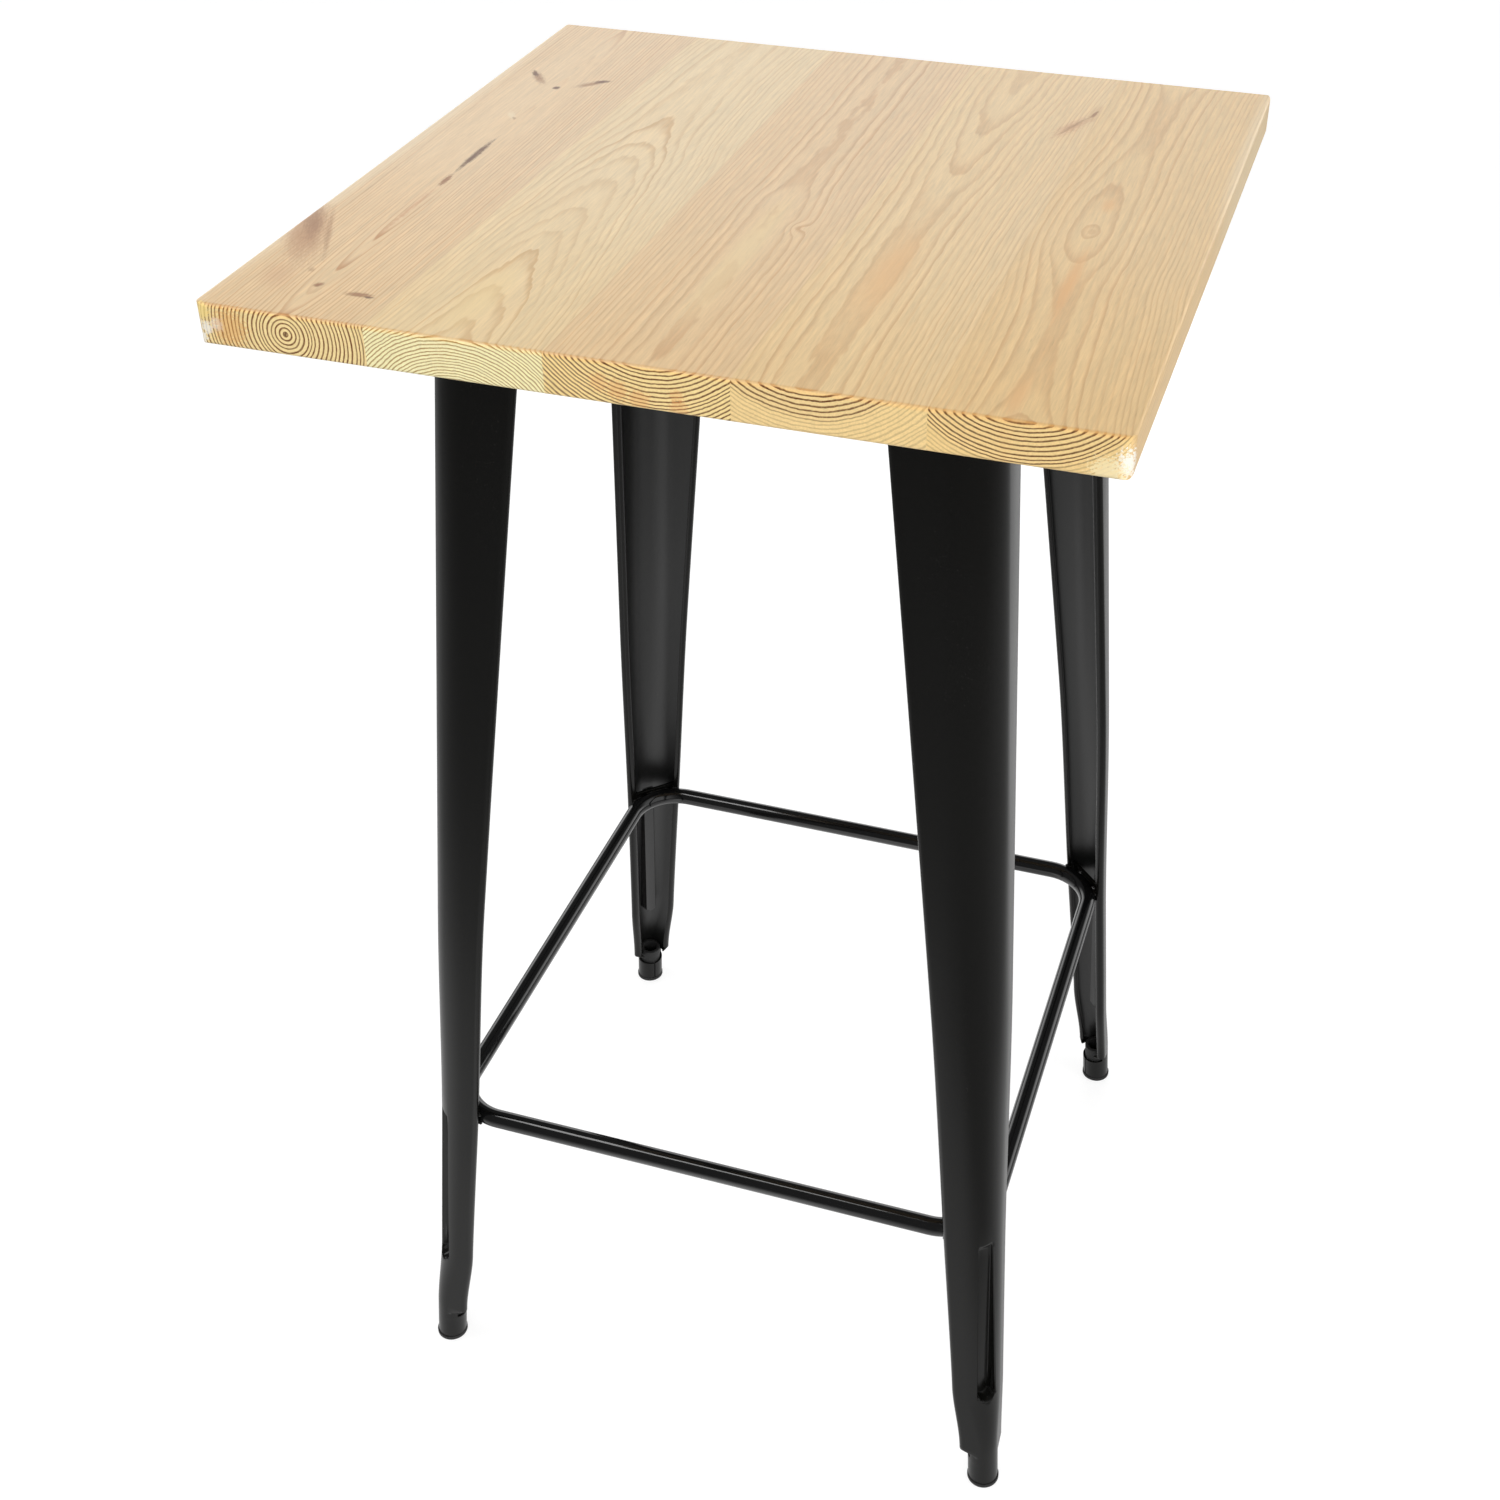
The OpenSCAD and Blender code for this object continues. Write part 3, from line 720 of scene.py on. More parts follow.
def screw_spots():
    """(place on the frame, thickness of sheet below the top) of each wood screw."""
    plate_at = PLATE_IN + PLATE_SCREW_INSET
    corner_at = CORNER_MID - CORNER_SCREW_INSET
    spots = []
    for quarter in range(4):
        turn = Matrix.Rotation(quarter * math.pi / 2, 2)
        for side in (-1, 1):
            spots.append((turn @ Vector((side * FLANGE_SCREW_AT, SCREW_LINE)), RAIL_T))
        for spot in ((plate_at, SCREW_LINE), (SCREW_LINE, plate_at), (corner_at, corner_at)):
            spots.append((turn @ Vector(spot), PLATE_T))
    return spots


def wood_screws():
    """Pan heads with a cross recess, and plain shanks up into the top."""
    screws = Shape()
    for spot, sheet in screw_spots():
        place = (Matrix.Translation((spot.x, spot.y, UNDER_Z - sheet))
                 @ Matrix.Rotation(math.pi, 4, "X"))
        length = SCREW_BITE + sheet - SEAT_GAP
        crown_r = SCREW_HEAD_R - SCREW_CROWN
        rings = [circle(AXIS_R, -length, place), circle(SCREW_R * 0.4, -length + 0.8, place),
                 circle(SCREW_R, -length + SCREW_POINT, place), circle(SCREW_R, 0, place),
                 circle(SCREW_HEAD_R - 0.1, 0, place)]
        for a in np.linspace(0.2, math.pi / 2, 6):
            round_off = SCREW_CROWN * math.cos(a) ** 0.8 if a < 1.5 else 0
            rings.append(circle(crown_r + round_off,
                                SCREW_RIM_H + (SCREW_HEAD_H - SCREW_RIM_H) * math.sin(a), place))
        rings += [cross_recess(CROSS_R, SCREW_HEAD_H - 0.02, place),
                  cross_recess(CROSS_LOW_R, SCREW_HEAD_H - CROSS_DEEP, place),
                  circle(AXIS_R, SCREW_HEAD_H - CROSS_DEEP - 0.4, place)]
        screws.add_rings(rings)
    return screws


# ---- Shader nodes ------------------------------------------------------------

FLOAT, VECTOR, COLOR = "NodeSocketFloat", "NodeSocketVector", "NodeSocketColor"


class Net:
    """Short calls for adding nodes to one tree."""

    def __init__(self, tree):
        self.tree = tree

    def link(self, value, socket):
        if isinstance(value, bpy.types.NodeSocket):
            self.tree.links.new(value, socket)
        else:
            socket.default_value = value

    def add(self, kind, feeds=None, **settings):
        node = self.tree.nodes.new("ShaderNode" + kind)
        for name, value in settings.items():
            setattr(node, name, value)
        for socket, value in (feeds or {}).items():
            self.link(value, node.inputs[socket])
        return node

    def math(self, operation, *values, clamp=False):
        node = self.add("Math", dict(enumerate(values)), operation=operation, use_clamp=clamp)
        return node.outputs[0]

    def ramp(self, value, low, high, start=0.0, end=1.0, smooth=True):
        node = self.add("MapRange", {"Value": value, "From Min": low, "From Max": high,
                                     "To Min": start, "To Max": end},
                        interpolation_type="SMOOTHSTEP" if smooth else "LINEAR")
        return node.outputs[0]

    def times(self, first, *others):
        for value in others:
            first = self.math("MULTIPLY", first, value)
        return first

    def plus(self, a, b):
        return self.math("ADD", a, b)

    def minus(self, a, b):
        return self.math("SUBTRACT", a, b)

    def over(self, a, b):
        return self.math("DIVIDE", a, b)

    def times_plus(self, a, b, c, clamp=False):
        return self.math("MULTIPLY_ADD", a, b, c, clamp=clamp)

    def centred(self, value):
        """A value that ran from 0 to 1, moved to run about 0."""
        return self.minus(value, 0.5)

    def vector(self, operation, *values, out="Vector"):
        node = self.add("VectorMath", dict(enumerate(values)), operation=operation)
        return node.outputs[out]

    def squares(self, a, b):
        """The sum of two values' squares."""
        return self.plus(self.times(a, a), self.times(b, b))

    def separate(self, vector):
        return self.add("SeparateXYZ", {0: vector}).outputs

    def noise(self, vector, scale, detail=2.0, roughness=0.5, offset=0.0):
        """Noise from 0 to 1, drawn out along each axis by its own scale."""
        stretched = self.vector("MULTIPLY_ADD", vector, scale, (offset, offset, offset))
        node = self.add("TexNoise", {"Vector": stretched, "Scale": 1.0, "Detail": detail,
                                     "Roughness": roughness})
        return node.outputs[0]

    def mix(self, factor, a, b, blend="MIX"):
        node = self.add("Mix", {0: factor, 6: a, 7: b}, data_type="RGBA", blend_type=blend)
        return node.outputs[2]

    def group(self, tree, feeds):
        node = self.tree.nodes.new("ShaderNodeGroup")
        node.node_tree = tree
        for socket, value in feeds.items():
            self.link(value, node.inputs[socket])
        return node.outputs

    def curve(self, value, points):
        """A smooth line through (value, result) points, over the range that they span."""
        xs, ys = [p[0] for p in points], [p[1] for p in points]
        low, high = min(ys), max(ys)
        span = (high - low) or 1.0
        at = self.ramp(value, xs[0], xs[-1], smooth=False)
        node = self.add("FloatCurve", {"Factor": 1.0, "Value": at})
        line = node.mapping.curves[0]
        wanted = [((x - xs[0]) / (xs[-1] - xs[0]), (y - low) / span) for x, y in points]
        while len(line.points) < len(wanted):
            line.points.new(0.5, 0.5)
        for point, place in zip(line.points, wanted):
            point.location = place
        node.mapping.update()
        return self.times_plus(node.outputs[0], span, low)


def shader_group(name, inputs, outputs):
    """An empty shader group: its tree, its net, what comes in and what goes out. Each input
    has a kind of socket, or the number that it starts from."""
    tree = bpy.data.node_groups.new(name, "ShaderNodeTree")
    for label, value in inputs.items():
        kind = value if isinstance(value, str) else FLOAT
        socket = tree.interface.new_socket(label, in_out="INPUT", socket_type=kind)
        if kind == FLOAT:
            socket.default_value = value
    for label in outputs:
        kind = COLOR if label == "Color" else FLOAT
        tree.interface.new_socket(label, in_out="OUTPUT", socket_type=kind)
    start = tree.nodes.new("NodeGroupInput")
    end = tree.nodes.new("NodeGroupOutput")
    return tree, Net(tree), start.outputs, end.inputs


def shade(red, green, blue):
    """A colour given as 0 to 255 screen values, for a shader socket."""
    def linear(c):
        c /= 255
        return c / 12.92 if c <= 0.04045 else ((c + 0.055) / 1.055) ** 2.4
    return (linear(red), linear(green), linear(blue), 1.0)


def new_material(name, level):
    """A material with its nodes, its shader and the place on the piece that they look up."""
    material = bpy.data.materials.new(name)
    material.use_nodes = True
    net = Net(material.node_tree)
    shader = material.node_tree.nodes["Principled BSDF"]
    shader.inputs["Specular IOR Level"].default_value = level
    return material, net, shader, net.add("TexCoord").outputs["Object"]


def lay_surface(net, shader, surface, colour):
    """Feeds the shader with a colour and with the surface's roughness and height."""
    net.link(colour, shader.inputs["Base Color"])
    net.link(surface["Roughness"], shader.inputs["Roughness"])
    bump = net.add("Bump", {"Height": surface["Height"], "Distance": 1.0, "Strength": 1.0})
    net.link(bump.outputs[0], shader.inputs["Normal"])


# ---- Pine --------------------------------------------------------------------

def pine_rings_group():
    """Growth rings round a pith that runs along the board."""
    tree, net, given, out = shader_group(
        "pine_rings",
        {"Vector": VECTOR, "Pith X": 0.0, "Pith Z": 1.0, "Ring Width": 0.0035,
         "Wander": 0.004, "Lift": 0.0, "Clear Beyond": 1.0, "Seed": 0.0},
        ["Latewood", "End Line", "Tone"])
    seeded = net.vector("ADD", given["Vector"], given["Seed"])
    place = net.separate(given["Vector"])
    across = net.minus(place["X"], given["Pith X"])
    deep = net.minus(place["Z"], given["Pith Z"])
    round_pith = net.math("SQRT", net.squares(across, deep))
    broad = net.centred(net.noise(seeded, (16, 3.2, 16), 2.0))
    close = net.centred(net.noise(seeded, (110, 26, 110), 2.0, 0.6, 5.0))
    sway = net.times(net.times_plus(close, 0.36, broad), given["Wander"])
    distance = net.plus(net.plus(round_pith, sway), given["Lift"])
    slow = net.add("TexNoise", {"W": net.times(distance, 70.0), "Scale": 1.0, "Detail": 1.0},
                   noise_dimensions="1D").outputs[0]
    ring = net.plus(net.over(distance, given["Ring Width"]), net.times(slow, 1.6))
    within = net.math("FRACT", ring)
    tone = net.add("TexWhiteNoise", {"W": net.math("FLOOR", ring)},
                   noise_dimensions="1D").outputs[0]
    net.link(tone, out["Tone"])

    rise = net.math("POWER", net.ramp(within, 0.3, 0.88), 1.9)
    fall = net.ramp(within, 0.88, 0.99, 1.0, 0.0)
    slope = net.over(net.math("ABSOLUTE", across), round_pith)
    strength = net.times(net.ramp(tone, 0.0, 1.0, 0.35, 1.15, smooth=False),
                         net.ramp(slope, 0.1, 0.6, 1.25, 0.8))
    net.link(net.times(rise, fall, strength), out["Latewood"])

    line = net.times(net.ramp(within, 0.46, 0.7), net.ramp(within, 0.88, 0.98, 1.0, 0.0))
    broken = net.ramp(net.noise(seeded, (420, 420, 420), 2.0, 0.7, 13.0), 0.3, 0.6, 0.78, 1.0)
    clear = net.ramp(net.minus(distance, given["Clear Beyond"]), -0.002, 0.002, 1.0, 0.3)
    varied = net.ramp(tone, 0.0, 1.0, 0.86, 1.04, smooth=False)
    net.link(net.times(line, broken, clear, varied), out["End Line"])
    return tree


def pine_fibres_group():
    """Fine fibres and slow streaks along the board, and the short dark resin ducts."""
    tree, net, given, out = shader_group(
        "pine_fibres", {"Vector": VECTOR, "Seed": 0.0},
        ["Fibre", "Streak", "Ducts", "Blush"])
    seeded = net.vector("ADD", given["Vector"], given["Seed"])
    net.link(net.noise(seeded, (640, 40, 640), 3.0, 0.7), out["Fibre"])
    net.link(net.noise(seeded, (230, 5, 230), 3.0, 0.6, 3.0), out["Streak"])
    ducts = net.noise(seeded, (1100, 60, 1100), 1.0, 0.5, 9.0)
    net.link(net.ramp(ducts, 0.68, 0.76), out["Ducts"])
    blush = net.noise(seeded, (42, 9, 42), 3.0, 0.55, 21.0)
    net.link(net.ramp(blush, 0.35, 0.65), out["Blush"])
    return tree


def board_mark_group():
    """A long soft-edged mark on a board: a knot's cut, a pith streak or a darker flame."""
    tree, net, given, out = shader_group(
        "board_mark",
        {"Vector": VECTOR, "X": 0.0, "Y": 0.0, "Angle": 0.0, "Length": 0.1, "Width": 0.01,
         "Core": 0.5, "Fray": 0.3, "Reach": 0.004},
        ["Mask"])
    place = net.separate(given["Vector"])
    dx = net.minus(place["X"], given["X"])
    dy = net.minus(place["Y"], given["Y"])
    cos, sin = net.math("COSINE", given["Angle"]), net.math("SINE", given["Angle"])
    along = net.plus(net.times(dx, cos), net.times(dy, sin))
    aside = net.minus(net.times(dy, cos), net.times(dx, sin))
    far = net.math("SQRT", net.squares(net.over(along, net.times(given["Length"], 0.5)),
                                       net.over(aside, net.times(given["Width"], 0.5))))
    own = net.add("CombineXYZ", {0: along, 1: aside,
                                 2: net.plus(given["X"], given["Y"])}).outputs[0]
    streaky = net.centred(net.noise(own, (70, 700, 40), 3.0, 0.65))
    ragged = net.centred(net.noise(own, (300, 420, 90), 2.0, 0.6, 4.0))
    rough = net.times_plus(ragged, 0.6, streaky)
    edge = net.times_plus(rough, given["Fray"], far)
    below = net.minus(TABLE_H * MM, place["Z"])
    net.link(net.times(net.ramp(edge, given["Core"], 1.0, 1.0, 0.0),
                       net.times_plus(streaky, 0.9, 1.0, clamp=True),
                       net.ramp(net.over(below, given["Reach"]), 0.8, 1.2, 1.0, 0.0)),
             out["Mask"])
    return tree


def corner_bruise_group():
    """Pale ragged fibres where a corner of the board has been knocked."""
    tree, net, given, out = shader_group(
        "corner_bruise", {"Vector": VECTOR, "Centre": VECTOR, "Size": 0.01}, ["Mask"])
    away = net.vector("DISTANCE", given["Vector"], given["Centre"], out="Value")
    ragged = net.centred(net.noise(given["Vector"], (480, 480, 620), 3.0, 0.7, 7.0))
    edge = net.times_plus(ragged, 2.6, net.over(away, given["Size"]))
    net.link(net.ramp(edge, 0.55, 0.85, 1.0, 0.0), out["Mask"])
    return tree


def knot_swirl_group():
    """How far a hidden knot lifts the growth rings round it, and the knot's own core."""
    tree, net, given, out = shader_group(
        "knot_swirl",
        {"Vector": VECTOR, "X": 0.0, "Y": 0.0, "Size": 0.012, "Stretch": 1.8, "Height": 0.006},
        ["Lift", "Core"])
    place = net.separate(given["Vector"])
    dx = net.over(net.minus(place["X"], given["X"]), given["Size"])
    dy = net.over(net.minus(place["Y"], given["Y"]), net.times(given["Size"], given["Stretch"]))
    far = net.squares(dx, dy)
    swell = net.math("EXPONENT", net.times(far, -1.0))
    net.link(net.times(swell, given["Height"]), out["Lift"])
    net.link(net.ramp(far, 0.03, 0.16, 1.0, 0.0), out["Core"])
    return tree


def pine_finish_group():
    """Puts rings, fibres and end grain together as sanded, oiled pine."""
    tree, net, given, out = shader_group(
        "pine_finish",
        {"Vector": VECTOR, "Early": COLOR, "Late": COLOR, "End Early": COLOR, "End Late": COLOR,
         "Latewood": 0.0, "End Line": 0.0, "Tone": 0.5, "Fibre": 0.5, "Streak": 0.5,
         "Ducts": 0.0, "Blush": 0.5, "Face Contrast": 0.6},
        ["Color", "Roughness", "Height"])

    def tinted(share, colour, tint):
        return net.mix(share, colour, net.mix(1.0, colour, tint, "MULTIPLY"))

    normal = net.separate(net.add("NewGeometry").outputs["Normal"])
    end = net.ramp(net.math("ABSOLUTE", normal["Y"]), 0.5, 0.85)
    place = net.separate(given["Vector"])
    arris = net.times(net.ramp(net.math("ABSOLUTE", place["Y"]), ARRIS_Y, ARRIS_Y + 0.0037),
                      net.ramp(place["Z"], ARRIS_Z, ARRIS_Z + 0.002))
    face = net.mix(net.times(given["Latewood"], given["Face Contrast"]),
                   given["Early"], given["Late"])
    face = tinted(net.times(given["Blush"], 0.5), face, (1.0, 0.965, 0.93, 1.0))
    # Warmer, more golden tint over the front half of the top: painted light, standing in for the sheen
    # that whitens the back of the top more than its front.
    painted_front_warmth = net.times(net.ramp(place["Y"], -0.02, -0.3, smooth=False), 0.9)
    face = tinted(painted_front_warmth, face, (0.985, 0.94, 0.81, 1.0))
    grain = net.mix(given["End Line"], given["End Early"], given["End Late"])
    varnish = net.times(arris, net.times_plus(given["End Line"], 0.6, 0.4))
    wood = tinted(varnish, net.mix(end, face, grain), (0.88, 0.66, 0.38, 1.0))
    value = 1.0
    for label, amount in (("Fibre", 0.42), ("Streak", 0.20), ("Tone", 0.05)):
        value = net.times_plus(net.centred(given[label]), amount, value)
    value = net.times_plus(given["Ducts"], -0.12, value)
    grey = net.add("CombineColor", {0: value, 1: value, 2: value}).outputs[0]
    net.link(net.mix(1.0, wood, grey, "MULTIPLY"), out["Color"])
    rough = net.times_plus(given["Fibre"], 0.12, 0.36)
    net.link(net.times_plus(end, 0.16, rough), out["Roughness"])
    height = net.times_plus(given["Fibre"], 0.000025, net.times(given["Latewood"], 0.00003))
    net.link(net.times_plus(given["Streak"], 0.00003, height), out["Height"])
    return tree


RINGS = pine_rings_group()
FIBRES = pine_fibres_group()
MARK = board_mark_group()
SWIRL = knot_swirl_group()
BRUISE = corner_bruise_group()
PINE_FINISH = pine_finish_group()


def pine_board(name, board):
    """Material of one board of the top. board gives its rings, colours, marks and swirls."""
    material, net, shader, spot = new_material(name, 0.4)
    shader.inputs["Coat Weight"].default_value = 0.2
    shader.inputs["Coat Roughness"].default_value = 0.3
    along = net.separate(spot)["Y"]
    pith_x = net.curve(along, [(y * MM, x * MM) for y, x in board["pith_x"]])
    pith_z = net.curve(along, [(y * MM, (TABLE_H + h) * MM) for y, h in board["pith_h"]])
    lift = 0.0
    cores = []
    for x, y, size, stretch, height in board.get("swirls", []):
        swirl = net.group(SWIRL, {"Vector": spot, "X": x * MM, "Y": y * MM, "Size": size * MM,
                                  "Stretch": stretch, "Height": height * MM})
        lift = net.plus(swirl["Lift"], lift)
        cores.append(swirl["Core"])
    rings = net.group(RINGS, {"Vector": spot, "Pith X": pith_x, "Pith Z": pith_z,
                              "Ring Width": board["ring"] * MM, "Wander": board["wander"] * MM,
                              "Lift": lift, "Clear Beyond": board.get("clear", 1000) * MM,
                              "Seed": board["seed"]})
    fibres = net.group(FIBRES, {"Vector": spot, "Seed": board["seed"]})

    def mark_mask(x, y, angle, length, width, core, fray, reach):
        return net.group(MARK, {"Vector": spot, "X": x * MM, "Y": y * MM,
                                "Angle": math.radians(angle), "Length": length * MM,
                                "Width": width * MM, "Core": core, "Fray": fray,
                                "Reach": reach * MM})["Mask"]

    contrast = board["contrast"]
    for *shape, amount in board.get("calm", []):
        contrast = net.times(contrast, net.times_plus(mark_mask(*shape), -amount, 1.0))
    feeds = {"Vector": spot, "Early": board["early"], "Late": board["late"],
             "End Early": board["end_early"], "End Late": board["end_late"],
             "Face Contrast": contrast}
    feeds.update({label: rings[label] for label in ("Latewood", "End Line", "Tone")})
    feeds.update({label: fibres[label] for label in ("Fibre", "Streak", "Ducts", "Blush")})
    finish = net.group(PINE_FINISH, feeds)
    colour = finish["Color"]
    for core in cores:
        colour = net.mix(net.times(core, 0.3), colour, board["late"])
    for *shape, tint, amount in board.get("marks", []):
        colour = net.mix(net.times(mark_mask(*shape), amount), colour, tint)
    for x, z, size, tint, amount in board.get("ends", []):
        bruise = net.group(BRUISE, {"Vector": spot, "Centre": (x * MM, -TOP_HALF * MM, z * MM),
                                    "Size": size * MM})
        colour = net.mix(net.times(bruise["Mask"], amount), colour, tint)
    lay_surface(net, shader, finish, colour)
    return material


# The boards of the top, in millimetres. pith_x and pith_h say where the pith runs, as (Y, X)
# and (Y, height over the top face), ring and wander how wide the rings are and how far they
# stray, and clear how far from the pith the lines on the end grain fade. The rest is lists:
# swirls: x, y, size, stretch along the board, lift of the rings
# calm:   x, y, angle, length, width, core, fray, reach down, amount of contrast taken away
# marks:  x, y, angle, length, width, core, fray, reach down, tint, amount
# ends:   x, z, size, tint, amount, on the front edge
BROWN = shade(142, 86, 42)
DARK = shade(92, 48, 20)
FLAME = shade(228, 176, 116)
PINK = shade(196, 140, 98)
PALE = shade(238, 222, 190)
BARE = shade(252, 248, 238)
AMBER = shade(228, 156, 92)

BOARDS = {
    "top_stave_1": {
        "pith_x": [(-300, -235), (-200, -236), (-110, -237), (20, -239), (140, -242), (300, -244)],
        "pith_h": [(-300, -13), (-200, -6), (-110, -2.5), (-10, -0.3), (80, -4), (300, -14)],
        "ring": 2.7, "wander": 3, "seed": 1.7, "contrast": 0.8,
        "early": shade(227, 200, 162), "late": shade(194, 146, 102),
        "end_early": shade(252, 226, 164), "end_late": shade(112, 60, 16),
        "calm": [(-254, 90, 90, 520, 92, 0.5, 0.3, 60, 0.85)],
        "marks": [
            (-299, 0, 90, 800, 24, 0.4, 0.5, 40, PALE, 0.45),
            (-288, -172, 114, 150, 38, 0.3, 0.7, 20, shade(182, 136, 98), 0.75),
            (-290, -160, 114, 96, 20, 0.1, 1.2, 20, shade(140, 96, 62), 0.55),
            (-272, -172, 114, 118, 6, 0.1, 1.5, 20, BROWN, 0.45),
            (-268, -246, 110, 60, 34, 0.1, 0.8, 20, PINK, 0.3),
            (-239.5, -10, 91, 84, 7.0, 0.35, 1.0, 4, DARK, 0.9),
            (-238.5, -62, 91, 30, 6.5, 0.35, 1.2, 4, BROWN, 0.85),
            (-238, -120, 91, 110, 5.0, 0.1, 1.5, 4, PINK, 0.6),
            (-265, 162, 125, 44, 11, 0.15, 1.0, 12, BROWN, 0.7),
            (-272, 171, 122, 20, 6, 0.3, 1.2, 12, DARK, 0.85),
            (-219, 161, 50, 38, 11, 0.15, 1.0, 12, BROWN, 0.7),
            (-213, 168, 34, 17, 9, 0.3, 1.3, 12, DARK, 0.85),
            (-242, 144, 80, 9, 7, 0.4, 0.7, 12, DARK, 0.9),
            (-250, 76, 120, 22, 8, 0.3, 1.0, 6, PALE, 0.5),
            (-245, 70, 120, 8, 4, 0.3, 1.0, 6, BROWN, 0.5),
            (-252, -232, 120, 12, 6, 0.2, 1.0, 12, BROWN, 0.4),
            (-236, -252, 80, 11, 7, 0.3, 1.0, 12, BROWN, 0.85),
            (-204, -258, 2, 25, 9, 0.3, 1.1, 12, BROWN, 0.8),
            (-196, -260, 0, 9, 4, 0.4, 1.0, 12, DARK, 0.8),
        ],
        "ends": [
            (-292, 1044, 6, BARE, 0.75),
            (-284, 1047, 6, BARE, 0.6),
            (-298, 1037, 7, BARE, 0.8),
            (-294, 1055, 8, shade(250, 222, 140), 0.7),
            (-235, 1047, 1.6, DARK, 0.9),
            (-275, 1046, 16, shade(226, 158, 82), 0.45),
        ],
    },
    "top_stave_2": {
        "pith_x": [(-300, -120), (-180, -124), (0, -130), (106, -133), (300, -128)],
        "pith_h": [(-300, -76), (-184, -80.5), (-83, -85.5), (0, -89), (106, -95), (300, -97)],
        "ring": 2.2, "wander": 5, "seed": 4.1, "contrast": 0.6,
        "early": shade(231, 208, 168), "late": shade(203, 166, 116),
        "end_early": shade(255, 246, 196), "end_late": shade(176, 140, 76),
        "calm": [(-125, 210, 90, 260, 70, 0.3, 0.3, 60, 0.6)],
        "marks": [(-128, -240, 90, 150, 40, 0.2, 0.4, 40, shade(234, 207, 150), 0.5)],
        "ends": [],
    },
    "top_stave_3": {
        "pith_x": [(-300, 8), (-150, 8), (0, 4), (150, 2), (300, 0)],
        "pith_h": [(-300, 57), (-50, 57.2), (20, 59), (120, 59.3), (300, 60)],
        "ring": 2.6, "wander": 4, "seed": 7.3, "contrast": 0.6,
        "early": shade(228, 199, 158), "late": shade(194, 146, 98),
        "end_early": shade(252, 224, 158), "end_late": shade(94, 44, 8),
        "swirls": [(28, -70, 7, 1.5, 3)],
        "marks": [(6, -130, 90, 300, 26, 0.3, 0.4, 40, shade(234, 209, 160), 0.6)],
        "ends": [
            (-24, 1046, 8, AMBER, 0.3), (-12, 1042, 9, AMBER, 0.36), (2, 1038, 9, AMBER, 0.36),
            (26, 1044, 6, AMBER, 0.3), (27, 1036, 8, AMBER, 0.34),
        ],
    },
    "top_stave_4": {
        "pith_x": [(-300, 106), (-28, 101), (56, 102), (150, 103), (238, 106), (300, 108)],
        "pith_h": [(-300, 63.5), (-28, 62.9), (56, 61.2), (150, 59.3), (238, 56.65), (300, 55.5)],
        "ring": 2.8, "wander": 5, "clear": 81.5, "seed": 11.9, "contrast": 0.55,
        "early": shade(232, 204, 158), "late": shade(192, 143, 90),
        "end_early": shade(247, 216, 154), "end_late": shade(96, 48, 10),
        "swirls": [(178, 214, 20, 3.0, 2.5)],
        "marks": [
            (106, -120, 90, 220, 36, 0.1, 0.4, 40, FLAME, 0.6),
            (176, 212, 80, 24, 5, 0.3, 1.0, 10, BROWN, 0.8),
            (165, 180, 70, 76, 18, 0.1, 1.3, 10, PINK, 0.6),
            (166, 184, 72, 60, 5, 0.1, 1.6, 10, BROWN, 0.45),
        ],
        "ends": [],
    },
    "top_stave_5": {
        "pith_x": [(-300, 234), (-156, 226), (-14, 219), (90, 222), (190, 226), (300, 228)],
        "pith_h": [(-300, 57.5), (-156, 61.4), (-85, 60.2), (-14, 58), (90, 60), (190, 61.6), (300, 59)],
        "ring": 2.7, "wander": 3, "clear": 86, "seed": 16.3, "contrast": 0.52,
        "early": shade(231, 200, 150), "late": shade(190, 138, 84),
        "end_early": shade(246, 213, 148), "end_late": shade(88, 44, 6),
        "swirls": [(219, -16, 9, 1.7, -2.2)],
        "marks": [
            (222, -105, 90, 160, 15, 0.1, 0.5, 40, FLAME, 0.85),
            (221, 34, 90, 40, 14, 0.1, 0.5, 40, FLAME, 0.6),
            (226, -270, 90, 80, 16, 0.1, 0.5, 40, FLAME, 0.6),
            (299, 180, 90, 420, 18, 0.3, 0.5, 40, PALE, 0.4),
        ],
        "ends": [(300, 1042, 13, BARE, 0.9), (286, 1035, 14, shade(250, 232, 184), 0.8)],
    },
}

# ---- Paint, rubber and zinc --------------------------------------------------

def powder_coat_group():
    """A sprayed and baked skin on pressed sheet: peel, ripples, a patchy gloss and dust."""
    tree, net, given, out = shader_group(
        "powder_coat",
        {"Vector": VECTOR, "Base": COLOR, "Roughness": 0.35, "Spread": 0.1, "Peel": 0.00001,
         "Dust": 0.1},
        ["Color", "Roughness", "Height"])
    spot = given["Vector"]
    patches = net.noise(spot, (16, 16, 5), 4.0, 0.6)
    fine = net.noise(spot, (650, 650, 650), 2.0, 0.5)
    peel = net.noise(spot, (330, 330, 330), 1.0, 0.5, 4.0)
    ripple = net.noise(spot, (24, 24, 7), 1.0, 0.4, 8.0)
    speck = net.ramp(net.noise(spot, (900, 900, 900), 1.0, 0.5, 2.0), 0.70, 0.80)
    settled = net.times(speck, net.ramp(patches, 0.4, 0.75), given["Dust"])
    net.link(net.mix(settled, given["Base"], (0.16, 0.155, 0.145, 1.0)), out["Color"])
    rough = net.times_plus(net.centred(patches), given["Spread"], given["Roughness"])
    net.link(net.times_plus(net.centred(fine), 0.04, rough), out["Roughness"])
    height = net.times_plus(ripple, 0.00022, net.times(peel, given["Peel"]))
    net.link(height, out["Height"])
    return tree


POWDER_COAT = powder_coat_group()


def coated_material(name, colour, roughness, spread, peel, level, dust):
    """A skin with fine orange peel, slow ripples in the sheet and a patchy gloss."""
    material, net, shader, spot = new_material(name, level)
    skin = net.group(POWDER_COAT, {"Vector": spot, "Base": (*colour, 1.0),
                                   "Roughness": roughness, "Spread": spread, "Peel": peel,
                                   "Dust": dust})
    lay_surface(net, shader, skin, skin["Color"])
    return material


